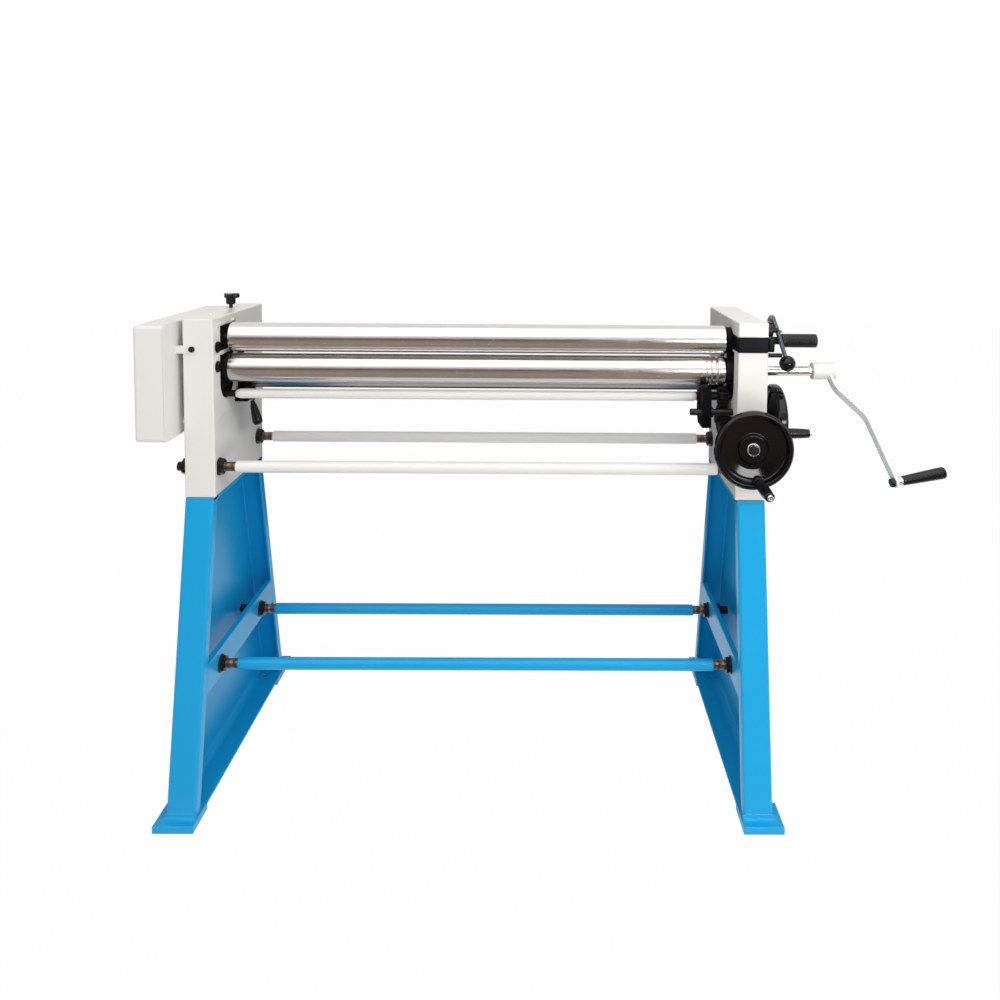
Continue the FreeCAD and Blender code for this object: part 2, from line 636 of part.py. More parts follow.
LIFT_ROOM = ("front_z - 39", "cross_z + 47")
covers = [box("lift_cover_plate_left", ("-outer - 3", "-outer"), ("rear_y - 40", "rear_y + 40"), LIFT_ROOM),
          box("lift_cover_plate_right", ("outer", "outer + 3"), ("rear_y - 40", "rear_y + 40"), LIFT_ROOM)]
node("lift_covers", join("lift_cover_set", covers))

FRONT_FLANGE = ("-half_deep - 14", "-half_deep")
SIDE_FLANGE = ("outer", "outer + 12")
front_flange = cut("front_flange_ring", rod("front_flange_disc", "y", 24, FRONT_FLANGE, FRONT),
                   [rod("front_flange_hole", "y", "shaft_rad + fit", FRONT_FLANGE, FRONT)])
side_flange = cut("side_flange_ring", rod("side_flange_disc", "x", 24, SIDE_FLANGE, SIDE),
                  [rod("side_flange_hole", "x", "shaft_rad + fit", SIDE_FLANGE, SIDE)])
node("wheel_flanges", join("wheel_flange_set", [front_flange, side_flange]))


# ---- Sync shaft, its bracket and the side hand wheel ---------------------------------------------
BRACKET = ("(half_span - bracket_in)", "(half_span - bracket_in + bracket_thick)")
bracket_side = extrude("sync_bracket_plate", "YZ_Plane", [
    ("front_y - 52", "sync_z - 70"), ("front_y + 10", "sync_z - 70"), ("front_y + 28", "sync_z - 48"),
    ("front_y + 28", "sync_z + 25"), ("front_y - 52", "sync_z + 25")], "bracket_thick")
bind(bracket_side, "Placement.Base.x", BRACKET[0])
node("sync_bracket", cut("sync_bracket_bored", bracket_side, [
    rod("sync_bracket_bore", "x", "shaft_rad + fit", BRACKET, SYNC),
    rod("sync_bracket_stud", "x", STUD_RAD, BRACKET, STUD)]))

COLLAR = (BRACKET[1], f"{BRACKET[1]} + 6")
stud = [rod("stud_rod", "x", STUD_RAD, (f"{BRACKET[0]} - 29", "half_span + 10"), STUD),
        cut("stud_collar", rod("stud_collar_disc", "x", 13, COLLAR, STUD),
            [rod("stud_collar_hole", "x", STUD_RAD, COLLAR, STUD)])]
node("bracket_stud", join("bracket_stud_whole", stud))

sync = [
    rod("sync_middle", "x", 12.5, ("-(half_span - 34)", f"{BRACKET[0]} - 18"), SYNC),
    taper("sync_taper_left", "x", (9, 12.5), ("-(half_span - 24)", "-(half_span - 34)"), SYNC),
    taper("sync_taper_right", "x", (12.5, "shaft_rad"), (f"{BRACKET[0]} - 18", f"{BRACKET[0]} - 8"), SYNC),
    rod("sync_bracket_journal", "x", "shaft_rad", (f"{BRACKET[0]} - 8", "half_span - 33"), SYNC),
    rod("sync_ends", "x", 9, ("-(outer - 8)", "outer - 8"), SYNC),
]
for sign in (-1, 1):
    sync.append(rod(f"sync_cam_{'right' if sign > 0 else 'left'}", "x", "cam_rad",
                    both(sign, "half_span + 9", "recess - 3"), ("front_y - throw", "sync_z")))
node("sync_shaft", join("sync_shaft_whole", sync))

sync_pitch = "(gear_module * sync_teeth / 2)"
side_pitch = "(gear_module * side_teeth / 2)"
sync_gear = gear("sync_gear_body", "sync_teeth", sync_pitch, f"{sync_pitch} + 2.5", f"{sync_pitch} - 4",
                 9, 22, 0)
node("sync_gear", stand_up(sync_gear, "x", "half_span - 29", SYNC, 180 / VALUE["sync_teeth"]))

side_gear = gear("side_gear_body", "side_teeth", side_pitch, f"{side_pitch} + 2.5", f"{side_pitch} - 4",
                 "shaft_rad", 22, 0)
node("side_gear", stand_up(side_gear, "x", "half_span - 29", SIDE, 0))
COLLAR_IN = ("half_span - 6", "half_span - 0.3")
side_shaft = [rod("side_shaft_rod", "x", "shaft_rad", ("half_span - 37", "outer + 50"), SIDE),
              cut("side_shaft_collar", rod("side_shaft_collar_disc", "x", 16, COLLAR_IN, SIDE),
                  [rod("side_shaft_collar_hole", "x", "shaft_rad", COLLAR_IN, SIDE)])]
node("side_shaft", join("side_shaft_whole", side_shaft))


def hand_wheel(name, rim):
    """A dished solid hand wheel about its own Z axis, the back of its rim at zero."""
    return spin(name, [
        ("shaft_rad", -18), (20, -18), (20, -6), (36, -6), (66, 0),
        (f"{rim} - 16", 3), (f"{rim} - 12", 0), (f"{rim} - 5", 0), (rim, 6),
        (rim, "wheel_thick - 6"), (f"{rim} - 5", "wheel_thick"), (f"{rim} - 12", "wheel_thick"),
        (f"{rim} - 17", 11), (66, 8), (38, 2), (34, 9), ("shaft_rad", 9)])


def wheel_set(label, axis, rim, face, centre, grip_centre, along):
    """Hand wheel, its hardware and its turning grip; along is -1 where the front faces -Y."""
    def stretch(start, stop):
        if along > 0:
            return (f"{face} + {start}", f"{face} + {stop}")
        return (f"{face} - {stop}", f"{face} - {start}")
    disc = hand_wheel(label + "_disc", rim)
    if along > 0:
        stand_up(disc, axis, face, centre)
    else:
        disc.Placement = Placement(Vector(), Rotation(Vector(1, 0, 0), 90))
        bind(disc, "Placement.Base.y", face)
        bind(disc, "Placement.Base.x", centre[0])
        bind(disc, "Placement.Base.z", centre[1])
    seat = rod(label + "_seat", axis, 14, stretch(2, 25), grip_centre)
    hole = rod(label + "_seat_hole", axis, 5, stretch(-1, 26), grip_centre)
    node(label, cut(label + "_whole", join(label + "_cast", [disc, seat]), [hole]))
    washer = cut(label + "_washer", rod(label + "_washer_disc", axis, 15, stretch(9, 12), centre),
                 [rod(label + "_washer_hole", axis, "shaft_rad", stretch(9, 12), centre)])
    nut = hex_nut(label + "_nut", axis, 24, stretch(12, 17), centre, "shaft_rad")
    bolt = rod(label + "_bolt", axis, 5, stretch(2, 124), grip_centre)
    tip = rod(label + "_tip", axis, 7, stretch(124, 129), grip_centre)
    node(label + "_hardware", join(label + "_hardware_set", [washer, nut, bolt, tip]))
    handle = [taper(label + "_handle_a", axis, (10.5, 13)[::along], stretch(25.3, 66), grip_centre),
              taper(label + "_handle_b", axis, (13, 11.5)[::along], stretch(66, 123.7), grip_centre)]
    bore = rod(label + "_handle_bore", axis, "5 + fit", stretch(25, 124), grip_centre)
    turned = join(label + "_handle_solid", handle)
    node(label.replace("wheel", "grip"), cut(label + "_handle", turned, [bore]))


wheel_set("side_wheel", "x", "side_rad", "(outer + 31)", SIDE, ("front_y + 60", "side_z - 52"), 1)


# ---- Front hand wheel, bevels, lift screws and cross shaft ---------------------------------------

def bevel(name, apex, axis_turn, phase):
    """A bevel gear whose teeth run to the apex; its axis is local Z, the teeth point to +Z."""
    count = int(VALUE["bevel_teeth"])
    pitch = VALUE["bevel_rad"]
    face = 6
    step = 2 * math.pi / count

    def ring(scale):
        spots = []
        for index in range(count):
            for rise, swing in ((-2, -0.29), (1.3, -0.12), (1.3, 0.12), (-2, 0.29)):
                turn = (index + swing) * step + math.radians(phase)
                radius = (pitch + rise) * scale
                spots.append(Vector(radius * math.cos(turn), radius * math.sin(turn), -pitch * scale))
        return Part.makePolygon(spots + spots[:1])

    teeth = Part.makeLoft([ring(1), ring((pitch - face) / pitch)], True, True)
    back = Part.makeCone(pitch - 5, pitch - 2.2, 3, Vector(0, 0, -pitch - 3), Vector(0, 0, 1))
    holder = doc.addObject("Part::Feature", name)
    holder.Shape = teeth.fuse(back)
    holder.Placement = Placement(Vector(*[number(place) for place in apex]), axis_turn)
    return holder


def bored_bevel(name, apex, axis_turn, phase):
    """A bevel gear with a bore for the cross shaft, which it is pinned to."""
    return cut(name + "_bored", bevel(name, apex, axis_turn, phase), [
        rod(name + "_bore", "x", "shaft_rad", ("-outer", "outer"), ("rear_y", "cross_z"))])


HALF_TOOTH = 180 / VALUE["bevel_teeth"]
UP = Rotation()
DOWN = Rotation(Vector(1, 0, 0), 180)
BACK = Rotation(Vector(1, 0, 0), -90)
TO_RIGHT = Rotation(Vector(0, 1, 0), 90)
TO_LEFT = Rotation(Vector(0, 1, 0), -90)

front_parts = [
    rod("front_shaft_rod", "y", "shaft_rad", ("-half_deep - 64", "rear_y - bevel_rad - 1"), FRONT),
    bevel("front_bevel", ("front_x", "rear_y", "front_z"), BACK, 90),
]
node("front_shaft", join("front_shaft_whole", front_parts))

wheel_set("front_wheel", "y", "wheel_rad", "(-half_deep - 45)", FRONT, ("front_x + 12", "front_z - 79"), -1)


def lift_screw(sign, label):
    """An upright screw with a bevel wheel under the cross shaft, and one above the front shaft."""
    middle = "front_x" if sign > 0 else "-front_x"
    centre = (middle, "rear_y")
    parts = [
        rod(label + "_foot", "z", 8, ("front_z - 40", "rear_top + 30.4"), centre),
        rod(label + "_tip", "z", 6, ("rear_top + 30.4", "rear_top + 49.4"), centre),
        bevel(label + "_bevel_top", (middle, "rear_y", "cross_z"), UP, HALF_TOOTH if sign > 0 else 0),
    ]
    if sign > 0:
        parts.append(bevel(label + "_bevel_low", (middle, "rear_y", "front_z"), DOWN, 90 + HALF_TOOTH))
    return node(label, join(label + "_whole", parts))


lift_screw(-1, "lift_screw_left")
lift_screw(1, "lift_screw_right")

cross = [
    rod("cross_shaft_rod", "x", "shaft_rad", ("-(half_span + 12)", "half_span + 12"), ("rear_y", "cross_z")),
    bored_bevel("cross_bevel_right", ("front_x", "rear_y", "cross_z"), TO_RIGHT, 0),
    bored_bevel("cross_bevel_left", ("-front_x", "rear_y", "cross_z"), TO_LEFT, HALF_TOOTH),
]
node("cross_shaft", held("cross_shaft_whole", cross))


# ---- Rear roll and its lifting blocks ------------------------------------------------------------

def rear_block(sign, label, near):
    middle = "front_x" if sign > 0 else "-front_x"
    span = ("rear_z - 32", "rear_z + 32")
    housing = box(label + "_housing", both(sign, near, "half_span - 1"), ("rear_y - 27", "rear_y + 27"), span)
    tongue = box(label + "_tongue", both(sign, "half_span - 1", "half_span + 57"),
                 ("rear_y - slide_half + slide_gap", "rear_y + slide_half - slide_gap"), span)
    holes = [
        rod(label + "_screw_hole", "z", "8 + fit", span, (middle, "rear_y")),
        rod(label + "_bush_hole", "x", 19, both(sign, near, "half_span + 14"), ("rear_y", "rear_z")),
    ]
    return node(label, cut(label + "_bored", join(label + "_whole", [housing, tongue]), holes))


def bush(name, outer, inner, span, centre):
    ring = rod(name + "_ring", "x", outer, span, centre)
    return cut(name, ring, [rod(name + "_hole", "x", inner, span, centre)])


LEFT_NEAR = "(half_span - 32)"
RIGHT_NEAR = "(half_span - 40)"
rear_block(-1, "rear_block_left", LEFT_NEAR)
rear_block(1, "rear_block_right", RIGHT_NEAR)
node("rear_bushes", join("rear_bush_set", [
    bush("rear_bush_left", 19, "15 + fit", both(-1, LEFT_NEAR, "half_span + 14"), REAR),
    bush("rear_bush_right", 19, "15 + fit", both(1, RIGHT_NEAR, "half_span + 14"), REAR)]))
node("rear_roll", join("rear_roll_whole", [
    rod("rear_roll_barrel", "x", "roll_rad", (f"-({LEFT_NEAR} - 1)", f"{RIGHT_NEAR} - 1"), REAR),
    rod("rear_roll_journals", "x", 15, ("-(half_span + 10)", "half_span + 10"), REAR)]))


# ---- Lower roll, its blocks, drive gear and crank ------------------------------------------------
BLOCK_NEAR = "(half_span + 7)"
BLOCK_FAR = "(recess - 1)"
BLOCK_FOOT = "(sync_z + cam_rad + 0.35)"


def low_block(sign, label):
    half_wide = "(block_half - slide_gap)"
    body = extrude(label + "_blank", "YZ_Plane", [
        (f"front_y - {half_wide}", "low_z + 34"), (f"front_y - {half_wide}", "low_z - 28"),
        ("front_y - 35", BLOCK_FOOT), ("front_y + 35", BLOCK_FOOT),
        (f"front_y + {half_wide}", "low_z - 28"), (f"front_y + {half_wide}", "low_z + 34")],
        f"{BLOCK_FAR} - {BLOCK_NEAR}")
    bind(body, "Placement.Base.x", both(sign, BLOCK_NEAR, BLOCK_FAR)[0])
    return node(label, cut(label + "_bored", body, [
        rod(label + "_bush_hole", "x", 22, both(sign, BLOCK_NEAR, BLOCK_FAR), LOW)]))


low_block(-1, "lower_block_left")
low_block(1, "lower_block_right")
low_bushes = []
for sign, near in ((-1, "half_span - 5"), (1, "half_span - 13")):
    tag = f"lower_bush_{'right' if sign > 0 else 'left'}"
    low_bushes.append(bush(tag, 22, "journal + fit", both(sign, BLOCK_NEAR, BLOCK_FAR), LOW))
    low_bushes.append(bush(tag + "_flange", 29, "journal + fit", both(sign, near, BLOCK_NEAR), LOW))
node("lower_bushes", join("lower_bush_set", low_bushes))

GEAR_BORE = 14
GEAR_NEAR = "-(back_plate + 42)"
GEAR_END = "-(back_plate + 49)"
# Wire-forming grooves near the crank end of the lower and rear rolls are cut with round tools.
GROOVE_X = ["half_span - 66", "half_span - 53", "half_span - 39"]
lower_roll = [
    rod("lower_barrel", "x", "roll_rad", ("-(half_span - 11)", "half_span - 16"), LOW),
    rod("lower_journals", "x", "journal", ("-(back_plate + 10)", "half_span + 54"), LOW),
    rod("lower_gear_seat", "x", GEAR_BORE, (GEAR_END, "-back_plate"), LOW),
    rod("crank_shaft", "x", "crank_rad", ("half_span + 54", "outer + 186"), LOW),
]
grooves = []
for index, place in enumerate(GROOVE_X):
    torus = doc.addObject("Part::Torus", f"groove_{index}")
    bind(torus, "Radius1", "roll_rad")
    bind(torus, "Radius2", f"{index + 2} * 0.9")
    grooves.append(lay(torus, "x", place, LOW))
node("lower_roll", cut("lower_roll_grooved", join("lower_roll_whole", lower_roll), grooves))

DRIVE_PITCH = "((up_z - low_z) / 2)"
drive = gear("lower_gear_body", "drive_teeth", DRIVE_PITCH, f"{DRIVE_PITCH} + 3", f"{DRIVE_PITCH} - 7",
             GEAR_BORE, 28, 0)
node("lower_gear", stand_up(drive, "x", GEAR_NEAR, LOW, 0))

CRANK_TURN = Rotation(Vector(1, 0, 0), -VALUE["crank_turn"])


def swung(label, pieces, bore=None):
    """Crank pieces are made hanging down, with X from the frame's outer face, then turned forward."""
    whole = join(label + "_hanging", pieces) if bore or len(pieces) > 1 else held(label + "_hanging", pieces)
    if bore:
        whole = cut(label + "_bored", whole, bore)
    whole.Placement = Placement(Vector(), CRANK_TURN)
    bind(whole, "Placement.Base.x", "outer")
    bind(whole, "Placement.Base.y", "front_y")
    bind(whole, "Placement.Base.z", "low_z")
    return node(label, whole)


def flat_bar(name, near, far, wide=24, thick=7):
    """A flat bar in the XZ plane from one (x, drop) point to another, with round ends."""
    run = far[0] - near[0]
    drop = far[1] - near[1]
    tilt = math.degrees(math.atan2(run, drop))
    bar = doc.addObject("Part::Box", name)
    bar.Length = thick
    bar.Width = wide
    bar.Height = math.hypot(run, drop)
    turn = Rotation(Vector(0, 1, 0), tilt)
    corner = turn.multVec(Vector(-thick / 2, -wide / 2, 0))
    bar.Placement = Placement(Vector(near[0], 0, near[1]) + corner, turn)
    knee = doc.addObject("Part::Cylinder", name + "_knee")
    knee.Radius = thick / 2
    knee.Height = wide
    knee.Placement = Placement(Vector(far[0], wide / 2, far[1]), Rotation(Vector(1, 0, 0), 90))
    return [bar, knee]


CRANK_POINTS = [(183.5, -10), (186.5, -57), (248, -130), (282, -299)]
arm = []
for index in range(3):
    arm += flat_bar(f"crank_arm_{index}", CRANK_POINTS[index], CRANK_POINTS[index + 1])
arm.append(rod("crank_hub", "x", 22, (136, 195), (0, 0)))
GRIP_DROP = CRANK_POINTS[3][1]
GRIP_TURN = math.degrees(math.atan2(CRANK_POINTS[3][0] - CRANK_POINTS[2][0], CRANK_POINTS[2][1] - GRIP_DROP))


def on_grip(piece_list):
    """Lay grip pieces, made along Z from the bar's outer face, square to the last stretch of the arm."""
    name = piece_list[0].Name + "_line"
    whole = join(name, piece_list) if len(piece_list) > 1 else held(name, piece_list)
    along = Rotation(Vector(0, 1, 0), 90 - GRIP_TURN)
    whole.Placement = Placement(Vector(CRANK_POINTS[3][0], 0, GRIP_DROP), along)
    return whole


centre_bore = rod("crank_hub_bore", "x", "crank_rad", (136, 186), (0, 0))
bolt_bore = on_grip([rod("crank_bolt_bore", "z", 6, (-8, 8), (0, 0))])
end_disc = on_grip([rod("crank_arm_end", "z", 14, (-3.5, 3.5), (0, 0))])
swung("crank", arm + [end_disc], [centre_bore, bolt_bore])
swung("crank_bolt", [on_grip([
    rod("crank_bolt_rod", "z", 6, (-14, 124), (0, 0)),
    hex_nut("crank_bolt_nut", "z", 19, (-13.5, -3.5), (0, 0), None),
    rod("crank_bolt_ferrule", "z", 10, (3.5, 16), (0, 0)),
    rod("crank_bolt_end", "z", 9, (122.5, 126), (0, 0))])])
swung("crank_grip", [on_grip([taper("crank_handle", "z", (11, 14), (16.3, 122.2), (0, 0))])],
      [on_grip([rod("crank_handle_bore", "z", "6 + fit", (16, 123), (0, 0))])])


# ---- Upper roll, its hub gear and the swing block ------------------------------------------------
PIVOT = "(half_span + 37)"
upper_roll = [
    rod("upper_barrel", "x", "roll_rad", ("-(half_span - 13)", "half_span - 16"), UP_AXIS),
    rod("upper_neck_left", "x", 12, (f"-{PIVOT}", "-(half_span - 13)"), UP_AXIS),
    ball("upper_ball", 17, f"-{PIVOT}", "front_y", "up_z"),
    rod("upper_cross_pin", "z", 4, ("up_z - 23", "up_z + 23"), (f"-{PIVOT}", "front_y")),
    rod("upper_journal_right", "x", "neck", ("half_span - 16", "half_span + 60"), UP_AXIS),
]
node("upper_roll", join("upper_roll_whole", upper_roll))

# The hub gear runs in the left frame; the roll's ball end sits in its socket.
hub = [rod("hub_journal", "x", 25, ("-(back_plate + 10)", "-(half_span + 21)"), UP_AXIS),
       rod("hub_tail", "x", GEAR_BORE, (GEAR_END, "-back_plate"), UP_AXIS)]
socket = [
    rod("hub_socket", "x", 17.3, (f"-({PIVOT} + 18)", "-(half_span + 21)"), UP_AXIS),
    box("hub_pin_slot", (f"-({PIVOT} + 8)", f"-({PIVOT} - 8)"), ("front_y - 4.3", "front_y + 4.3"),
        ("up_z - 26", "up_z + 26")),
]
upper_hub = cut("upper_hub", join("upper_hub_solid", hub), socket)
upper_ring = gear("upper_gear_body", "drive_teeth", DRIVE_PITCH, f"{DRIVE_PITCH} + 3", f"{DRIVE_PITCH} - 7",
                  GEAR_BORE, 28, 0)
stand_up(upper_ring, "x", GEAR_NEAR, UP_AXIS, 180 / VALUE["drive_teeth"])
node("upper_gear", join("upper_gear_whole", [upper_hub, upper_ring]))

SWING_NEAR = "(half_span - 15)"
SWING_BORE = (SWING_NEAR, "half_span + 62")
swing = [
    rod("swing_collar", "x", 34, (SWING_NEAR, "half_span - 1.5"), UP_AXIS),
    box("swing_bar", ("half_span - 1.5", "outer"), ("-half_deep - 3", "front_y + 33"),
        ("up_z - 17.6", "up_z + 20.2")),
    box("swing_tail", ("outer", "outer + 15"), ("-half_deep - 3", "front_y + 21"),
        ("up_z - 16", "up_z + 15")),
    rod("swing_neck", "x", 10, ("outer + 15", "outer + 141"), UP_AXIS),
]
node("swing_block", cut("swing_block_bored", join("swing_block_whole", swing),
                        [rod("swing_bush_hole", "x", 17, SWING_BORE, UP_AXIS)]))
node("swing_bush", bush("swing_bush_ring_set", 17, "neck + fit", SWING_BORE, UP_AXIS))
sleeve = rod("swing_grip_rubber", "x", 18, ("outer + 55", "outer + 146"), UP_AXIS)
node("swing_grip", cut("swing_grip_sleeve", sleeve, [
    rod("swing_grip_bore", "x", 10, ("outer + 55", "outer + 141"), UP_AXIS)]))


# ---- Cam lever, star knob and left clamp lever ---------------------------------------------------
LEVER_TOP = Vector(number("outer + 17"), number(CAM[0]), number("up_z + 67"))
LEVER_BALL = Vector(number("outer + 56"), number(CAM[0]), number("up_z - 49"))


def slanted(name, radius, start, stop):
    """A round rod between two points."""
    solid = doc.addObject("Part::Cylinder", name)
    run = stop - start
    solid.Radius = radius
    solid.Height = run.Length
    solid.Placement = Placement(start, Rotation(Vector(0, 0, 1), run))
    return solid


lever_run = LEVER_BALL - LEVER_TOP
hub_solid = [rod("cam_spindle", "x", 8, ("outer - 29", "outer + 0.4"), CAM),
             rod("cam_drum", "x", 19, ("outer + 0.4", "outer + 15"), CAM),
             rod("cam_boss", "x", 10, ("outer + 15", "outer + 35"), CAM)]
node("cam_hub", cut("cam_hub_bored", join("cam_hub_whole", hub_solid),
                    [slanted("cam_rod_bore", 4.8, LEVER_TOP, LEVER_BALL)]))
rod_end = LEVER_BALL - lever_run * (14 / lever_run.Length)
node("lever_rod", join("lever_rod_whole", [
    slanted("lever_rod_bar", 4.8, LEVER_TOP, rod_end),
    slanted("lever_rod_collar", 7, LEVER_BALL - lever_run * (26 / lever_run.Length),
            LEVER_BALL - lever_run * (19.5 / lever_run.Length))]))
ball_solid = ball("lever_ball_solid", 20, LEVER_BALL.x, LEVER_BALL.y, LEVER_BALL.z)
collar_cut = slanted("lever_ball_collar", 7, LEVER_BALL - lever_run * (26 / lever_run.Length),
                     LEVER_BALL - lever_run * (19.5 / lever_run.Length))
node("lever_ball", cut("lever_ball_bored", ball_solid, [
    slanted("lever_ball_bore", 4.8, LEVER_TOP, rod_end), collar_cut]))

knob = [rod("knob_stem", "z", 5, ("frame_top - 30", "frame_top + 12"), KNOB),
        taper("knob_hub", "z", (12, 14), ("frame_top + 10", "frame_top + 26"), KNOB),
        rod("knob_disc", "z", 14, ("frame_top + 26", "frame_top + 39"), KNOB)]
for index in range(3):
    turn = math.radians(120 * index + 30)
    place = (f"{KNOB[0]} + {14 * math.cos(turn):.4f}", f"{KNOB[1]} + {14 * math.sin(turn):.4f}")
    knob.append(rod(f"knob_lobe_{index}", "z", 9, ("frame_top + 27", "frame_top + 39"), place))
node("star_knob", join("star_knob_whole", knob))

CLAMP = ("rear_y - 30", "cross_z - 4")
CLAMP_SPAN = ("-half_span", "-(half_span - 33)")
clamp_box = box("clamp_box", CLAMP_SPAN, ("rear_y - 48", "rear_y + 18"), ("cross_z - 14", "cross_z + 16"))
node("clamp_bracket", cut("clamp_box_bored", clamp_box, [
    rod("clamp_cross_bore", "x", "shaft_rad + fit", CLAMP_SPAN, ("rear_y", "cross_z")),
    rod("clamp_screw_bore", "x", "5 + fit", ("-(half_span - 10)", CLAMP_SPAN[1]), CLAMP)]))


def clamp_spot(inward, height):
    """A point of the clamp lever, by its distance from the frame and its height."""
    return Vector(number(f"-(half_span - {inward})"), number(CLAMP[0]), number(height))


CLAMP_MID = clamp_spot(40.5, "cross_z - 25")
handle_run = clamp_spot(50, "cross_z - 75") - CLAMP_MID
handle = doc.addObject("Part::Cone", "clamp_handle")
handle.Radius1 = 7
handle.Radius2 = 12
handle.Height = handle_run.Length
handle.Placement = Placement(CLAMP_MID, Rotation(Vector(0, 0, 1), handle_run))
node("clamp_lever", join("clamp_lever_whole", [
    rod("clamp_screw", "x", 5, ("-(half_span - 11)", "-(half_span - 39)"), CLAMP),
    rod("clamp_boss", "x", 9, ("-(half_span - 33.3)", "-(half_span - 47)"), CLAMP),
    slanted("clamp_shank", 6, clamp_spot(39.5, CLAMP[1]), CLAMP_MID + handle_run * 0.1),
    handle]))


# ---- Check the document and write the sub-parts --------------------------------------------------
doc.recompute()
for item in doc.Objects:
    if "Invalid" in item.State or "Error" in item.State:
        raise RuntimeError(f"{item.Name} ({item.Label}) failed: {item.State}")
for solid in NODES:
    if solid.Shape.isNull() or not solid.Shape.isValid():
        raise RuntimeError(f"{solid.Label} has no valid shape")
os.makedirs("parts", exist_ok=True)
for solid in NODES:
    solid.Shape.exportStep(f"parts/{solid.Label}.step")
    print(f"{solid.Label}: {len(solid.Shape.Solids)} solids, {solid.Shape.Volume / 1000:.1f} cm3")
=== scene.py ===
"""Hand slip roll on its stand, dressed for rendering. Its sizes are in millimetres, the studio's in metres."""
import bpy
import bmesh
import math
from mathutils import Matrix, Vector


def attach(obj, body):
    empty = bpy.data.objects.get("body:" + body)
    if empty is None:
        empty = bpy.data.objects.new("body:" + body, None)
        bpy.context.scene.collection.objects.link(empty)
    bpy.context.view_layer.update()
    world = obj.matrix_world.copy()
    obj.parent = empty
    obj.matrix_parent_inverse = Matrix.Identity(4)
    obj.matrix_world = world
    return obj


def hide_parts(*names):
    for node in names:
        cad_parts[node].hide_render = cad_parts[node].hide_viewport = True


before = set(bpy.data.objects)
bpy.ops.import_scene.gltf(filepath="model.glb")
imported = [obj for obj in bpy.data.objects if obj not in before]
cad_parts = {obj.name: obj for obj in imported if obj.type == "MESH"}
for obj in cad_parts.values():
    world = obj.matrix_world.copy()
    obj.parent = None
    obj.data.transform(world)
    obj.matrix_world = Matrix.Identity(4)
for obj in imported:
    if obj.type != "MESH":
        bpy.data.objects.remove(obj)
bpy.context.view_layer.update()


# ---- Viewpoint, studio light and pale floor ------------------------------------------------------
# The machine is seen from in front at standing height, on white paper, under soft lamps. Cards that
# only bright steel and gloss paint mirror stand round it: dull brown in front, dark behind, and a
# small bright one for the glint on the hand wheels.
EYE = Vector((0.1644, -2.2546, 1.4588))
PITCH, YAW, ROLL = 0.0626, 0.0100, 0.0086
SENSOR, FOCAL, SHIFT = 36, 0.850, (-0.0526, -0.2348)
right = Vector((math.cos(YAW), -math.sin(YAW), 0))
ahead = Vector((math.sin(YAW) * math.cos(PITCH), math.cos(YAW) * math.cos(PITCH), -math.sin(PITCH)))
above = right.cross(ahead)
leaned_right = math.cos(ROLL) * right + math.sin(ROLL) * above
leaned_up = math.cos(ROLL) * above - math.sin(ROLL) * right
camera_data = bpy.data.cameras.new("camera")
camera = bpy.data.objects.new("camera", camera_data)
bpy.context.scene.collection.objects.link(camera)
camera_data.sensor_width = SENSOR
camera_data.lens = SENSOR * FOCAL
camera_data.shift_x, camera_data.shift_y = SHIFT
turn = Matrix((leaned_right, leaned_up, -ahead)).transposed()
camera.matrix_world = Matrix.Translation(EYE) @ turn.to_4x4()
bpy.context.scene.camera = camera
bpy.context.scene.view_settings.view_transform = "Standard"


def lamp(name, place, aim, wide, tall, power, mirrored=True):
    """A soft lamp that looks at a point; bright steel may show it or not."""
    data = bpy.data.lights.new(name, "AREA")
    data.shape = "RECTANGLE"
    data.size = wide
    data.size_y = tall
    data.energy = power
    thing = bpy.data.objects.new(name, data)
    thing.location = place
    thing.rotation_euler = (Vector(aim) - Vector(place)).to_track_quat("-Z", "Y").to_euler()
    thing.visible_camera = False
    thing.visible_glossy = mirrored
    bpy.context.scene.collection.objects.link(thing)


lamp("lamp_over", (0.2, -1.3, 3.3), (0, 0, 0.9), 4.5, 3.2, 68)
lamp("lamp_left", (-3.0, -1.6, 1.7), (-0.4, 0, 0.7), 2.0, 2.0, 9)
lamp("lamp_high", (2.6, -1.5, 2.3), (-0.6, 0, 0.8), 1.8, 1.4, 31, mirrored=False)
lamp("lamp_low", (1.1, -1.8, 0.25), (-0.7, 0, 0.3), 0.9, 0.4, 6, mirrored=False)
lamp("lamp_front", (-0.2, -3.4, 1.7), (-0.1, 0, 0.6), 2.4, 1.6, 23, mirrored=False)


def plug(tree, node, plugs):
    """Feed a node's sockets from other nodes, or set them to plain values."""
    for spot, value in plugs.items():
        if isinstance(value, bpy.types.Node):
            value = value.outputs[0]
        if isinstance(value, bpy.types.NodeSocket):
            tree.links.new(value, node.inputs[spot])
        else:
            node.inputs[spot].default_value = value
    return node


def wired(tree, kind, plugs=None, **settings):
    """Add a node of a kind, choose its settings and plug it in."""
    node = tree.nodes.new(kind)
    for word, value in settings.items():
        setattr(node, word, value)
    return plug(tree, node, plugs or {})


def white_to_the_eye(tree, soft, paper, share, out):
    """Camera, mirror and glass rays meet a share of white paper; the soft shader lights the object."""
    rays = wired(tree, "ShaderNodeLightPath").outputs
    seen = wired(tree, "ShaderNodeMath", {0: rays["Is Camera Ray"], 1: rays["Is Glossy Ray"]},
                 operation="MAXIMUM")
    seen = wired(tree, "ShaderNodeMath", {0: seen, 1: rays["Is Transmission Ray"]}, operation="MAXIMUM")
    seen = wired(tree, "ShaderNodeMath", {0: seen, 1: share}, operation="MULTIPLY")
    pick = wired(tree, "ShaderNodeMixShader", {0: seen, 1: soft, 2: paper})
    wired(tree, out, {0: pick})


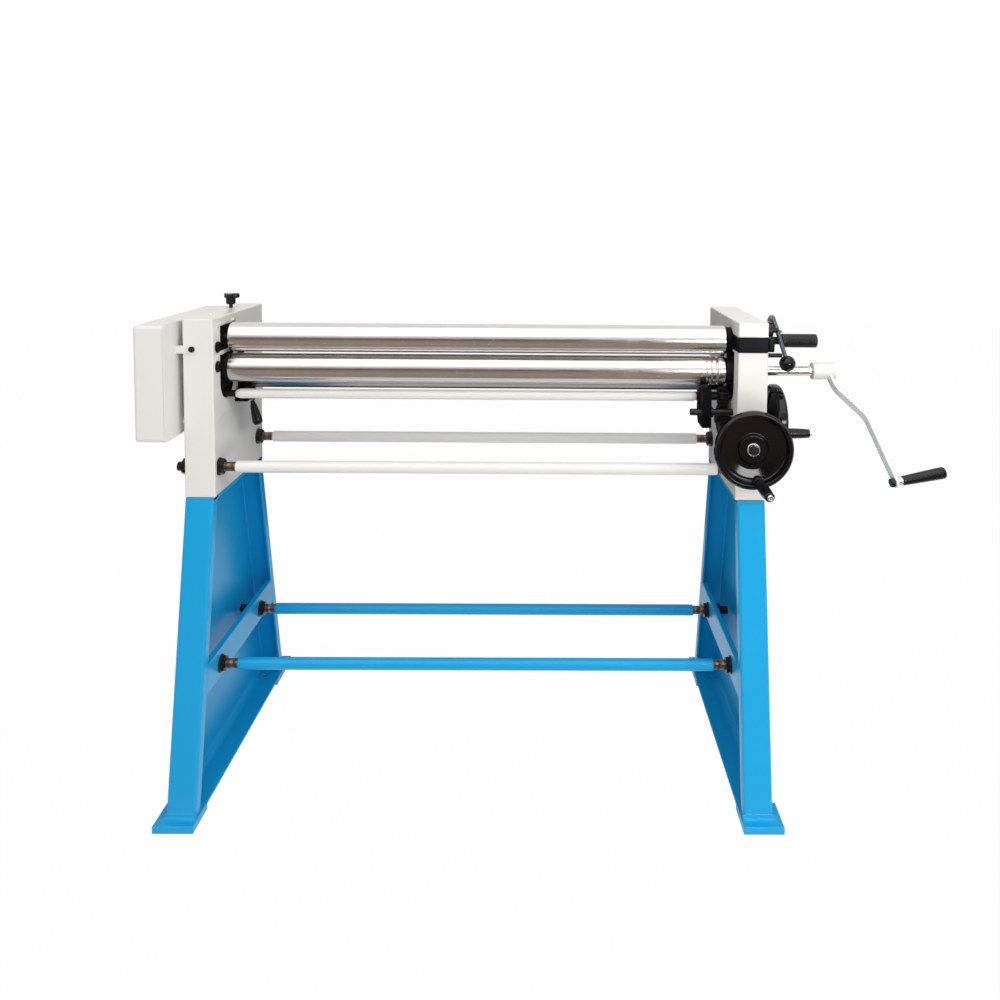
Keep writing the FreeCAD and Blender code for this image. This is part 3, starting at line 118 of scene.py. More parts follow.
WHITE = (1, 1, 1, 1)
AIR_LIGHT, PAPER_LIGHT = 0.2, 1.0
sky = bpy.data.worlds.new("studio")
bpy.context.scene.world = sky
sky.use_nodes = True
tree = sky.node_tree
tree.nodes.clear()
air = wired(tree, "ShaderNodeBackground", {"Color": WHITE, "Strength": AIR_LIGHT})
paper = wired(tree, "ShaderNodeBackground", {"Color": WHITE, "Strength": PAPER_LIGHT})
white_to_the_eye(tree, air, paper, 1.0, "ShaderNodeOutputWorld")


def sheet(name, corners):
    """A flat sheet of the studio, with the node tree of its still empty material."""
    mesh = bpy.data.meshes.new(name)
    mesh.from_pydata(corners, [], [(0, 1, 2, 3)])
    thing = bpy.data.objects.new(name, mesh)
    bpy.context.scene.collection.objects.link(thing)
    made = bpy.data.materials.new(name)
    made.use_nodes = True
    made.cycles.emission_sampling = "NONE"
    made.node_tree.nodes.clear()
    mesh.materials.append(made)
    return thing, made.node_tree


FLOOR_REACH, FLOOR_WHITE, SHADOW_LEFT = 9, (0.9, 0.9, 0.9, 1), 0.015
tree = sheet("floor", [(x * FLOOR_REACH, y * FLOOR_REACH, 0) for x, y in ((-1, -1), (1, -1), (1, 1), (-1, 1))])[1]
matt = wired(tree, "ShaderNodeBsdfDiffuse", {"Color": FLOOR_WHITE})
glow = wired(tree, "ShaderNodeEmission", {"Strength": PAPER_LIGHT})
white_to_the_eye(tree, matt, glow, 1 - SHADOW_LEFT, "ShaderNodeOutputMaterial")


def mirrored_card(name, corners, colour=WHITE, strength=1.0):
    """A card that is only seen in bright metal and gloss paint."""
    card, tree = sheet(name, corners)
    for rays in ("camera", "diffuse", "shadow", "transmission"):
        setattr(card, "visible_" + rays, False)
    glow = wired(tree, "ShaderNodeEmission", {"Color": colour, "Strength": strength})
    wired(tree, "ShaderNodeOutputMaterial", {0: glow})
    return tree, glow


CARD_LOW, CARD_TOP, DARK_TOP, GLINT = 0.03, 1.93, 1.15, 16
mirrored_card("dark_card", [(-4, 1.5, CARD_LOW), (4, 1.5, CARD_LOW), (4, 1.5, DARK_TOP), (-4, 1.5, DARK_TOP)],
              (0.03, 0.027, 0.03, 1))
mirrored_card("wheel_glint", [(0.87, -1.80, 0.97), (1.61, -1.50, 0.97), (1.61, -1.53, 1.21), (0.87, -1.83, 1.21)],
              strength=GLINT)
tree, glow = mirrored_card("brown_card", [(-4, -0.45, CARD_LOW), (4, -0.45, CARD_LOW), (4, -3.3, CARD_TOP),
                                          (-4, -3.3, CARD_TOP)])
spot = wired(tree, "ShaderNodeTexCoord")
parts = wired(tree, "ShaderNodeSeparateXYZ", {0: spot.outputs["Object"]})
rise = wired(tree, "ShaderNodeMapRange", {"Value": parts.outputs["Z"], "From Max": CARD_TOP})
bands = wired(tree, "ShaderNodeValToRGB", {0: rise})
bands.color_ramp.elements[0].color = (0.28, 0.24, 0.21, 1)
bands.color_ramp.elements[1].color = (1.0, 0.98, 0.95, 1)
for place, shade in ((0.20, (0.40, 0.32, 0.26)), (0.38, (0.33, 0.26, 0.21)), (0.50, (0.11, 0.08, 0.06)),
                     (0.60, (0.10, 0.075, 0.06)), (0.72, (0.42, 0.37, 0.32)), (0.9, (0.8, 0.76, 0.7))):
    bands.color_ramp.elements.new(place).color = (*shade, 1)
plug(tree, glow, {"Color": bands.outputs["Color"]})


# ---- Stand legs ----------------------------------------------------------------------------------
# Each leg is a channel folded from 6 mm plate, with returned lips, welded to a sole plate and two
# thicker drilled pads, and all of it is stove-enamelled bright blue. A cap plate carries the frame.

def finish(name, colour, rough, metal=0.0, coat=0.0, drift=0.03, drift_size=9.0, skin=0.1, skin_size=300.0,
           stretch=(1, 1, 1), edge_wear_and_highlight=None, round_edges=0.0012, mirror=0.5):
    """A paint, plastic or metal: its colour drifts, its edges take a painted highlight on paint and a rubbed colour
    on bare steel, its gloss and its skin vary.
    """
    made = bpy.data.materials.new(name)
    made.use_nodes = True
    tree = made.node_tree
    spots = wired(tree, "ShaderNodeTexCoord")
    scale = wired(tree, "ShaderNodeMapping", {"Scale": stretch, "Vector": spots.outputs["Object"]})
    clouds = wired(tree, "ShaderNodeTexNoise", {"Vector": scale, "Scale": drift_size, "Detail": 6}).outputs["Fac"]
    dull, bright = [[min(1, part * share) for part in colour] for share in (1 - drift, 1 + drift)]
    tint = wired(tree, "ShaderNodeMix", {"Factor": clouds, "A": (*dull, 1), "B": (*bright, 1)}, data_type="RGBA")
    paint = tint.outputs["Result"]
    rounded_off = wired(tree, "ShaderNodeBevel", {"Radius": round_edges}, samples=4)
    # A second colour is mixed in along the edges. On the enamels and gloss blacks it is a paler tint of the paint,
    # which is painted edge highlight; on blackened steel it is the bare steel rubbed through.
    if edge_wear_and_highlight:
        flat = wired(tree, "ShaderNodeNewGeometry")
        agree = wired(tree, "ShaderNodeVectorMath", {0: rounded_off, 1: flat.outputs["Normal"]},
                      operation="DOT_PRODUCT")
        edge = wired(tree, "ShaderNodeMapRange", {"Value": agree.outputs["Value"], "From Min": 0.995,
                                                  "From Max": 0.86, "To Max": 0.6})
        wear_and_highlight_mask = wired(tree, "ShaderNodeMath", {0: edge, 1: clouds}, operation="MULTIPLY")
        wear_and_highlight = wired(tree, "ShaderNodeMix", {"Factor": wear_and_highlight_mask, "A": paint, "B": (*edge_wear_and_highlight, 1)}, data_type="RGBA")
        paint = wear_and_highlight.outputs["Result"]
    sheen = wired(tree, "ShaderNodeMapRange", {"Value": clouds, "To Min": rough * 0.82,
                                               "To Max": min(1, rough * 1.2)})
    grain = wired(tree, "ShaderNodeTexNoise", {"Vector": scale, "Scale": skin_size, "Detail": 2}).outputs["Fac"]
    relief = wired(tree, "ShaderNodeBump", {"Strength": skin, "Distance": 0.0003, "Height": grain})
    if round_edges:
        plug(tree, relief, {"Normal": rounded_off})
    plug(tree, tree.nodes["Principled BSDF"],
         {"Base Color": paint, "Metallic": metal, "Roughness": sheen, "Specular IOR Level": mirror,
          "Coat Weight": coat, "Coat Roughness": 0.08, "Normal": relief})
    return made


MM = 0.001


def eased(corner, before, after, radius, most, steps):
    """Points round one softened corner, given the edges that lead away from it."""
    back = min(radius / math.tan(before.angle(after) / 2), before.length * most, after.length * most)
    start, stop = corner + before.normalized() * back, corner + after.normalized() * back
    shares = [step / steps for step in range(steps + 1)]
    return [(1 - share) ** 2 * start + 2 * share * (1 - share) * corner + share ** 2 * stop for share in shares]


def softened(points, radii, steps=4):
    """A closed outline with its corners rounded."""
    result = []
    for index, (corner, radius) in enumerate(zip(points, radii)):
        corner = Vector(corner)
        before, after = Vector(points[index - 1]) - corner, Vector(points[(index + 1) % len(points)]) - corner
        result += eased(corner, before, after, radius, 0.48, steps) if radius > 0 else [corner]
    return [tuple(point) for point in result]


def loft(form, rings, closed=False):
    """Skin between rings of points in millimetres; the first and last rings are capped unless it closes."""
    rows = [[form.verts.new(Vector(point) * MM) for point in ring] for ring in rings]
    count = len(rows[0])
    for low in range(len(rows) if closed else len(rows) - 1):
        first, second = rows[low], rows[(low + 1) % len(rows)]
        for index in range(count):
            after = (index + 1) % count
            form.faces.new((first[index], first[after], second[after], second[index]))
    if not closed:
        form.faces.new(rows[0])
        form.faces.new(rows[-1])
    return form


def add(form, part):
    """Put one finished shape into another."""
    rest = bpy.data.meshes.new("passing")
    part.to_mesh(rest)
    part.free()
    form.from_mesh(rest)
    bpy.data.meshes.remove(rest)
    return form


def block(form, low, high, soft):
    """A bar with its edges broken, between two corners."""
    ring = [(low[0], low[1]), (high[0], low[1]), (high[0], high[1]), (low[0], high[1])]
    part = loft(bmesh.new(), [[(x, y, z) for x, y in ring] for z in (low[2], high[2])])
    bmesh.ops.bevel(part, geom=part.edges[:], offset=soft * MM, segments=3, profile=0.5, affect="EDGES")
    return add(form, part)


def on_axis(axis, along, u, v):
    """A point from its place along an axis and its two places across it."""
    return {"x": (along, u, v), "y": (u, along, v), "z": (u, v, along)}[axis]


def circle(centre, radius, steps):
    """Even points round a circle."""
    angles = [2 * math.pi * step / steps for step in range(steps)]
    return [(centre[0] + radius * math.cos(angle), centre[1] + radius * math.sin(angle)) for angle in angles]


def flat_plate(form, axis, near, far, outline, holes=(), soft=0.8):
    """A plate square to an axis, with round holes and broken edges."""
    part = bmesh.new()
    for rim in [outline] + [circle((u, v), radius, 32) for u, v, radius in holes]:
        spots = [part.verts.new(Vector(on_axis(axis, near, u, v)) * MM) for u, v in rim]
        for index, place in enumerate(spots):
            part.edges.new((place, spots[(index + 1) % len(spots)]))
    bmesh.ops.triangle_fill(part, use_beauty=True, edges=part.edges[:])
    raised = bmesh.ops.extrude_face_region(part, geom=part.faces[:])["geom"]
    push = Vector(on_axis(axis, far - near, 0, 0)) * MM
    bmesh.ops.translate(part, vec=push, verts=[thing for thing in raised if isinstance(thing, bmesh.types.BMVert)])
    bmesh.ops.recalc_face_normals(part, faces=part.faces)
    rim_edges = [edge for edge in part.edges if len(edge.link_faces) == 2 and edge.calc_face_angle() > 0.6
                 and abs((edge.verts[0].co - edge.verts[1].co).normalized().dot(push.normalized())) < 0.5]
    bmesh.ops.bevel(part, geom=rim_edges, offset=soft * MM, segments=2, profile=0.5, affect="EDGES")
    return add(form, part)


def piece(name, form, made, body, nodes, sharp=38):
    """Make an object of a finished shape: faces outwards, smooth between sharp edges, on its body."""
    bmesh.ops.remove_doubles(form, verts=form.verts, dist=0.000002)
    bmesh.ops.recalc_face_normals(form, faces=form.faces)
    mesh = bpy.data.meshes.new(name)
    form.to_mesh(mesh)
    form.free()
    for one in made if isinstance(made, list) else [made]:
        mesh.materials.append(one)
    mesh.shade_smooth()
    mesh.set_sharp_from_angle(angle=math.radians(sharp))
    thing = bpy.data.objects.new(name, mesh)
    bpy.context.scene.collection.objects.link(thing)
    even = thing.modifiers.new("even", "WEIGHTED_NORMAL")
    even.keep_sharp = True
    graph = bpy.context.evaluated_depsgraph_get()
    thing.data = bpy.data.meshes.new_from_object(thing.evaluated_get(graph))
    thing.data.name = name
    thing.modifiers.clear()
    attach(thing, body)
    if nodes:
        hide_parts(*([nodes] if isinstance(nodes, str) else nodes))


# Its paler blue edge colour is a painted edge highlight.
blue_enamel = finish("blue_enamel", (0.006, 0.35, 0.68), 0.36, coat=0.06, mirror=0.3, drift=0.035, drift_size=4,
                     skin=0.12, skin_size=240, edge_wear_and_highlight=(0.16, 0.48, 0.74), round_edges=0.003)
SIDES = ((-1, "left"), (1, "right"))
LEG = {"top": 745, "low": 19, "web": 720, "plate": 6, "edge": 650, "lip": 24}
FLANGE, WELD, COVE = 6.18, 12, 20
FOOT_TOP, COVE_LOW, COVE_WALL = 18.6, 18.8, 714.5


def leg_depth(height, near):
    """Front or rear face of a leg at a height."""
    fall = (LEG["top"] - height) / (LEG["top"] - LEG["low"])
    return -183 - 140 * fall if near else 183 + 174 * fall


for side, hand in SIDES:
    rings = []
    for height in (18.3, 40, 110, 300, 560, 744.6):
        front, rear = leg_depth(height, True), leg_depth(height, False)
        inner, outer, edge, reach = LEG["web"] - LEG["plate"], LEG["web"], LEG["edge"], FLANGE + LEG["lip"]
        lip = edge + LEG["plate"]
        corners = [(outer, front), (edge, front), (edge, front + reach), (lip, front + reach), (lip, front + FLANGE),
                   (inner, front + FLANGE), (inner, rear - FLANGE), (lip, rear - FLANGE), (lip, rear - reach),
                   (edge, rear - reach), (edge, rear), (outer, rear)]
        outline = softened(corners, [8, 8, 1.2, 1.2, 3, 3, 3, 3, 1.2, 1.2, 8, 8], 5)
        rings.append([(side * x, y, height) for x, y in outline])
    leg = loft(bmesh.new(), rings)
    for wide, deep, tall, soft in (((650, 714.5), (-184.5, 184.5), (735, 744.6), 0.8),
                                   ((645, 720), (-268, 285), (13, 18.9), 1.2)):
        low_x, high_x = sorted(side * x for x in wide)
        block(leg, (low_x, deep[0], tall[0]), (high_x, deep[1], tall[1]), soft)
    low_x, high_x = sorted((side * 645, side * 741))
    for near, far, anchor in ((-348, -263, -300), (280, 419, 300)):
        pad = [(low_x, near), (high_x, near), (high_x, far), (low_x, far)]
        flat_plate(leg, "z", 0, 19, pad, [(side * 690, anchor, 7)], 2)
    # Fillet welds round the foot: the corners of each run, with the way that the weld faces there.
    for run in (((648, -322.6, 0, -1), (720.4, -322.6, 1, -1), (720.4, -262, 1, 0)),
                ((720.4, 281, 1, 0), (720.4, 356.6, 1, 1), (648, 356.6, 0, 1))):
        rings = []
        for x, y, out_x, out_y in run:
            ring = []
            for step in range(7):
                swing = math.radians(90 * step / 6)
                lift, away = WELD - WELD * math.sin(swing), WELD - WELD * math.cos(swing)
                ring.append((side * (x + out_x * away), y + out_y * away, FOOT_TOP + lift))
            ring += [(side * (x - out_x * 3), y - out_y * 3, FOOT_TOP + rise) for rise in (0, WELD)]
            rings.append(ring)
        loft(leg, rings)
    # A rounded cove runs along the web inside.
    swings = [math.radians(90 * step / 6) for step in range(7)]
    cove = [(COVE_WALL - COVE + COVE * math.sin(swing), COVE_LOW + COVE - COVE * math.cos(swing)) for swing in swings]
    loft(leg, [[(side * x, y, z) for x, z in cove + [(COVE_WALL, COVE_LOW)]] for y in (-264, 281)])
    piece("stand_" + hand, leg, blue_enamel, "base", "stand_" + hand, 35)


# ---- Cross bars and tie rods of the stand --------------------------------------------------------
# A flat bar inside each leg carries two painted round rods. The rods are turned down to a bare
# thread at each end, which passes through the bar between a washer and two blackened nuts.

def turned(form, axis, centre, profile, steps=48, closed=False):
    """A shape turned about X, Y or Z from (place along the axis, radius) points."""
    return loft(form, [[on_axis(axis, along, u, v) for u, v in circle(centre, radius, steps)]
                       for along, radius in profile], closed)


BAR_LOW, BAR_HIGH, BAR_INSET = 273, 345, 30.2
STAND_RODS, STAND_ROD_HEIGHT = 150, 305
for side, hand in SIDES:
    outline = [(leg_depth(BAR_HIGH, True) + BAR_INSET, BAR_HIGH), (leg_depth(BAR_HIGH, False) - BAR_INSET, BAR_HIGH),
               (leg_depth(BAR_LOW, False) - BAR_INSET, BAR_LOW), (leg_depth(BAR_LOW, True) + BAR_INSET, BAR_LOW)]
    bores = [(place, STAND_ROD_HEIGHT, 12.5) for place in (-STAND_RODS, STAND_RODS)]
    bar = flat_plate(bmesh.new(), "x", side * 650, side * 665, outline, bores, 1.2)
    piece("cross_bar_" + hand, bar, blue_enamel, "base", "cross_bar_" + hand)

bare_thread = finish("bare_thread", (0.22, 0.15, 0.12), 0.34, metal=1.0, drift=0.18, drift_size=60, skin=0.3,
                     skin_size=900, round_edges=0.0003)
blackened = finish("blackened_steel", (0.008, 0.0075, 0.008), 0.34, mirror=0.3, drift=0.25, drift_size=70,
                   skin=0.3, skin_size=700, edge_wear_and_highlight=(0.16, 0.15, 0.14), round_edges=0.0007)


def recipe(name, sizes):
    """A new node tree that takes points, sizes and a finish and gives a mesh."""
    made = bpy.data.node_groups.new(name, "GeometryNodeTree")
    made.interface.new_socket("Geometry", in_out="OUTPUT", socket_type="NodeSocketGeometry")
    made.interface.new_socket("Geometry", in_out="INPUT", socket_type="NodeSocketGeometry")
    for word, value in sizes.items():
        kind = "NodeSocketInt" if isinstance(value, int) else "NodeSocketFloat"
        made.interface.new_socket(word, in_out="INPUT", socket_type=kind).default_value = value
    made.interface.new_socket("Finish", in_out="INPUT", socket_type="NodeSocketMaterial")
    given = made.nodes.new("NodeGroupInput").outputs
    return made, given, wired(made, "GeometryNodeMeshToPoints", {"Mesh": given["Geometry"]})


def repeated(tree, given, shape, points):
    """Lay a shape along X, repeat it at points and give it the finish."""
    laid = wired(tree, "GeometryNodeTransform", {"Geometry": shape, "Rotation": (0, math.pi / 2, 0)})
    copies = wired(tree, "GeometryNodeInstanceOnPoints", {"Points": points, "Instance": laid})
    real = wired(tree, "GeometryNodeRealizeInstances", {0: copies})
    dressed = wired(tree, "GeometryNodeSetMaterial", {"Geometry": real, "Material": given["Finish"]})
    wired(tree, "NodeGroupOutput", {0: dressed})
    return tree


def thread_tree():
    """A screw thread along X: a helix of a given pitch and length wound round a core."""
    tree, given, points = recipe("rolled_thread", {"Core radius": 0.0113, "Turns": 14.0, "Length": 0.03,
                                                   "Ridge": 0.0011})
    core = given["Core radius"]
    helix = wired(tree, "GeometryNodeCurveSpiral", {"Resolution": 20, "Rotations": given["Turns"],
                                                    "Start Radius": core, "End Radius": core,
                                                    "Height": given["Length"]})
    ridge = wired(tree, "GeometryNodeCurvePrimitiveCircle", {"Resolution": 4, "Radius": given["Ridge"]})
    wound = wired(tree, "GeometryNodeCurveToMesh", {"Curve": helix, "Profile Curve": ridge, "Fill Caps": True})
    return repeated(tree, given, wound, points)


def grown(name, tree, spots, values):
    """Run a node tree at given points and keep the plain mesh that it makes, as one finished shape."""
    seed = bpy.data.meshes.new(name + "_points")
    seed.from_pydata([Vector(point) * MM for point in spots], [], [])
    holder = bpy.data.objects.new(name + "_points", seed)
    bpy.context.scene.collection.objects.link(holder)
    made = holder.modifiers.new(name, "NODES")
    made.node_group = tree
    for item in tree.interface.items_tree:
        if item.in_out == "INPUT" and item.name in values:
            made[item.identifier] = values[item.name]
    holder.update_tag()
    graph = bpy.context.evaluated_depsgraph_get()
    form = bmesh.new()
    form.from_mesh(bpy.data.meshes.new_from_object(holder.evaluated_get(graph)))
    bpy.data.objects.remove(holder)
    return form


def nut(form, axis, centre, low, high, across, hole, steps=48):
    """A chamfered hexagon nut or, with no hole, a bolt head."""
    flat, inner = across / 2, hole if hole else 0.4
    crown, slope = flat * 0.97, math.tan(math.radians(28))

    def ring(along, shape):
        points = []
        for step in range(steps):
            angle = 2 * math.pi * step / steps
            radius, back = shape(flat / math.cos((angle + math.pi / 6) % (math.pi / 3) - math.pi / 6))
            u, v = centre[0] + radius * math.cos(angle), centre[1] + radius * math.sin(angle)
            points.append(on_axis(axis, along + back, u, v))
        return points

    return loft(form, [ring(low, lambda corner: (inner, 0)),
                       ring(low, lambda corner: (crown, 0)),
                       ring(low, lambda corner: (corner, (corner - crown) * slope)),
                       ring(high, lambda corner: (corner, -(corner - crown) * slope)),
                       ring(high, lambda corner: (crown, 0)),
                       ring(high, lambda corner: (inner, 0))], closed=True)


ROD = [(-606, 12), (-604.5, 14), (-602.5, 15), (602.5, 15), (604.5, 14), (606, 12)]
THREAD_START, THREAD_PITCH = 607, 2.0
rolled_thread = thread_tree()


def tied(kind, spread, height, paint, face, back, tip, stop):
    """A front and a rear rod, with washers, inner and outer nuts and bare threads at their four ends."""
    for place, end in ((-spread, "_front"), (spread, "_rear")):
        rod = turned(bmesh.new(), "x", (place, height), ROD)
        piece("tie_rod_" + kind + end, rod, paint, "base", ())
    fixings, bare = bmesh.new(), bmesh.new()
    for side in (-1, 1):
        for place in (-spread, spread):
            centre = (place, height)
            washer = [(face - 4, 12.3), (face - 4, 21), (face - 3.2, 22), (face, 22), (face, 12.3)]
            turned(fixings, "x", centre, [(side * along, radius) for along, radius in washer], closed=True)
            nut(fixings, "x", centre, *sorted((side * (face - 14), side * (face - 4))), 36, 12.2)
            nut(fixings, "x", centre, *sorted((side * back, side * (back + 19))), 36, 12.2)
            turned(bare, "x", centre, [(side * 604, 11.1), (side * (back + 8), 11.1)])
            stub = [(back + 8, 11.6), (tip - 1.5, 11.6), (tip, 10.2)]
            turned(fixings, "x", centre, [(side * along, radius) for along, radius in stub])
    piece("tie_nuts_" + kind, fixings, blackened, "base", "tie_nuts_" + kind, 30)
    length = stop - THREAD_START
    spots = [(start, place, height) for start in (THREAD_START, -stop) for place in (-spread, spread)]
    add(bare, grown("rod_thread", rolled_thread, spots,
                    {"Core radius": 0.0110, "Turns": length / THREAD_PITCH, "Length": length * MM,
                     "Ridge": 0.00105, "Finish": bare_thread}))
    piece(kind + "_rod_threads", bare, bare_thread, "base",
          ["tie_rod_" + kind + "_front", "tie_rod_" + kind + "_rear"], 60)


tied("stand", STAND_RODS, STAND_ROD_HEIGHT, blue_enamel, 650, 665, 706, 635)


# ---- Head frames ---------------------------------------------------------------------------------
# Two heavy iron castings under thick off-white enamel. Their bearing recesses, slides and bores
# are left unpainted and coloured near black, which is painted shade for the dark within them.
# Its paler edge colour is a painted edge highlight.
white_enamel = finish("white_enamel", (0.80, 0.785, 0.745), 0.36, coat=0.2, drift=0.018, drift_size=5, skin=0.14,
                      skin_size=260, edge_wear_and_highlight=(0.86, 0.85, 0.83), round_edges=0.003)
# Near-black iron. Where it lines the frames' recesses, and on the collars, blocks and bushes in them, its darkness is
# painted shade; on the gears and shafts it is dark oily iron.
oiled_iron_and_recess_shade = finish("oiled_iron_and_recess_shade", (0.008, 0.0065, 0.007), 0.42, mirror=0.2, drift=0.35, drift_size=45, skin=0.4,
                    skin_size=420, round_edges=0.001)
# The walls of a casting, and the space within which its faces are bare and take the near-black painted shade, in
# metres.
WALLS = ((0.645, 0.719), (-0.183, 0.183), (0.745, 1.190))
BARE_AND_SHADED = ((0.6496, 0.7185), (-0.1825, 0.1825), (0.7455, 1.1895))

for side, hand in SIDES:
    casting = bmesh.new()
    casting.from_mesh(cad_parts["frame_" + hand].data)
    bmesh.ops.remove_doubles(casting, verts=casting.verts, dist=0.00001)
    bmesh.ops.dissolve_limit(casting, angle_limit=math.radians(0.6), verts=casting.verts, edges=casting.edges)
    bmesh.ops.recalc_face_normals(casting, faces=casting.faces)
    # Faces inside that space take the second finish, the near-black painted shade.
    for face in casting.faces:
        middle = face.calc_center_bounds()
        places = (side * middle.x, middle.y, middle.z)
        face.material_index = int(all(low < place < high for place, (low, high) in zip(places, BARE_AND_SHADED)))
    outer_edges = []
    for edge in casting.edges:
        ends = [(side * end.co.x, end.co.y, end.co.z) for end in edge.verts]
        on_walls = sum(any(max(abs(end[axis] - wall) for end in ends) < 0.00002 for wall in WALLS[axis])
                       for axis in range(3))
        if (on_walls >= 2 and edge.calc_length() > 0.004 and len(edge.link_faces) == 2
                and edge.calc_face_angle() > 0.5):
            outer_edges.append(edge)
    bmesh.ops.bevel(casting, geom=outer_edges, offset=0.003, segments=4, profile=0.5, affect="EDGES",
                    clamp_overlap=False)
    piece("frame_" + hand, casting, [white_enamel, oiled_iron_and_recess_shade], "base", "frame_" + hand, 33)

tied("head", 145, 813, white_enamel, 649, 719, 751, 634)

bolts = bmesh.new()
for x in (-685, 685):
    for y in (-110, 110):
        nut(bolts, "z", (x, y), 727, 735, 19, 0)
        turned(bolts, "z", (x, y), [(727.1, 0.5), (727.1, 5), (734, 5)])
piece("frame_bolts", bolts, blackened, "base", "frame_bolts")


# ---- Gear guard ----------------------------------------------------------------------------------
# A deep folded and welded lid over the drive gears, with well-rounded corners, on a back plate
# that stands off the left frame on four spacers. Both wear the same white enamel.
LOWER_AXIS, UPPER_AXIS = (-93, 1056), (-93, 1134)
GUARD_FRONT, GUARD_REAR, GUARD_LOW, GUARD_TOP = -256, 183, 902, 1183
GUARD_BACK, GUARD_FACE = -736, -806
TAB_SCREW = (-695, 1116)

rim = [(GUARD_FRONT, GUARD_LOW), (GUARD_REAR, GUARD_LOW), (GUARD_REAR, GUARD_TOP), (GUARD_FRONT, GUARD_TOP)]
plate = flat_plate(bmesh.new(), "x", -733, GUARD_BACK, softened(rim, [8] * 4),
                   [(*LOWER_AXIS, 22), (*UPPER_AXIS, 27)], 0.8)
for spacer in ((-150, 930), (150, 930), (-40, 1165), (150, 1165)):
    turned(plate, "x", spacer, [(-733.5, 7), (-718.6, 7)], 24)
tab = softened([(-734, 1105), (-686, 1105), (-686, 1125), (-734, 1125)], [0, 4, 4, 0])
flat_plate(plate, "y", -186, -183, tab, [(*TAB_SCREW, 4)], 0.5)
piece("gear_back_plate", plate, white_enamel, "base", "gear_back_plate")

rim = [(GUARD_FACE, GUARD_FRONT), (GUARD_BACK, GUARD_FRONT), (GUARD_BACK, GUARD_REAR), (GUARD_FACE, GUARD_REAR)]
lid = loft(bmesh.new(), [[(x, y, z) for x, y in rim] for z in (GUARD_LOW, GUARD_TOP)])
bmesh.ops.recalc_face_normals(lid, faces=lid.faces)
outer_edges = [edge for edge in lid.edges if min(end.co.x for end in edge.verts) < -0.80]
bmesh.ops.bevel(lid, geom=outer_edges, offset=0.009, segments=6, profile=0.5, affect="EDGES")
piece("gear_cover", lid, white_enamel, "base", "gear_cover", 30)

screws = bmesh.new()
for centre in ((-200, 1000), (140, 1000)):
    turned(screws, "x", centre, [(-806.9, 11), (-805.6, 11)], 32)
    nut(screws, "x", centre, -813, -806.8, 17, 0)
turned(screws, "y", TAB_SCREW, [(-192, 2.6), (-190.6, 2.9), (-190.6, 3.2), (-192, 3.5), (-192, 5.8), (-191.2, 6.8),
                                (-189.5, 7.2), (-186, 7.2)], 32)
turned(screws, "y", TAB_SCREW, [(-190.8, 3.4), (-172, 3.4)], 16)
piece("cover_screws", screws, blackened, "base", "cover_screws")


# ---- Small fittings of the frames ----------------------------------------------------------------
# A pressed oil cup, push-in plugs, a slotted pair of grub screws, the stop pin of the swing block,
# and two cover plates held by countersunk screws.
pale_zinc = finish("pale_zinc", (0.74, 0.73, 0.72), 0.24, metal=1.0, drift=0.06, drift_size=80, skin=0.2,
                   skin_size=900, round_edges=0.0004)
# Its slightly lighter edge colour is a painted edge highlight.
gloss_black = finish("gloss_black", (0.004, 0.004, 0.005), 0.3, mirror=0.06, drift=0.2, drift_size=25, skin=0.06,
                     skin_size=240, edge_wear_and_highlight=(0.03, 0.03, 0.032), round_edges=0.0012)
cup = turned(bmesh.new(), "z", (-685, -90), [(1184, 2.4), (1189.9, 2.4), (1189.9, 5.6), (1191.2, 5.6), (1192.4, 4.4),
                                            (1192.4, 2.6), (1191.9, 2.2), (1192.5, 1.2), (1192.7, 0.3)], 32)
piece("oil_cup", cup, pale_zinc, "base", "oil_cup")
plugs = bmesh.new()
for centre in ((-156, 1117), (-156, 1068)):
    turned(plugs, "x", centre, [(-646, 5.5), (-640.8, 5.5), (-640.8, 8.2), (-640.0, 9.2), (-640.0, 12.2),
                                (-640.7, 13.5), (-642.2, 14.0), (-646, 14.0)], 48, closed=True)
    turned(plugs, "x", centre, [(-646, 6.2), (-642.6, 6.2)], 24)
piece("side_plugs", plugs, gloss_black, "base", "side_plugs")
grubs = bmesh.new()
for centre in ((-46, 1171), (89, 1144)):
    turned(grubs, "x", centre, [(-646, 5.8), (-641.2, 5.8), (-640.2, 4.8), (-640.2, 2.4), (-641.6, 2.2)], 32)
piece("grub_screws", grubs, pale_zinc, "base", ())
pin = turned(bmesh.new(), "x", (-138, 1103), [(704, 5.5), (763.6, 5.5), (765, 4.2)], 32)
piece("stop_pin", pin, blackened, "base", "stop_pin")


def screw_tree():
    """Countersunk screw heads facing along X, repeated at points."""
    tree, given, points = recipe("countersunk_screws", {"Head radius": 0.004, "Head height": 0.0016})
    smaller = wired(tree, "ShaderNodeMath", {0: given["Head radius"], 1: 0.72}, operation="MULTIPLY")
    head = wired(tree, "GeometryNodeMeshCone", {"Vertices": 20, "Radius Bottom": given["Head radius"],
                                                "Radius Top": smaller, "Depth": given["Head height"]})
    return repeated(tree, given, head, points)


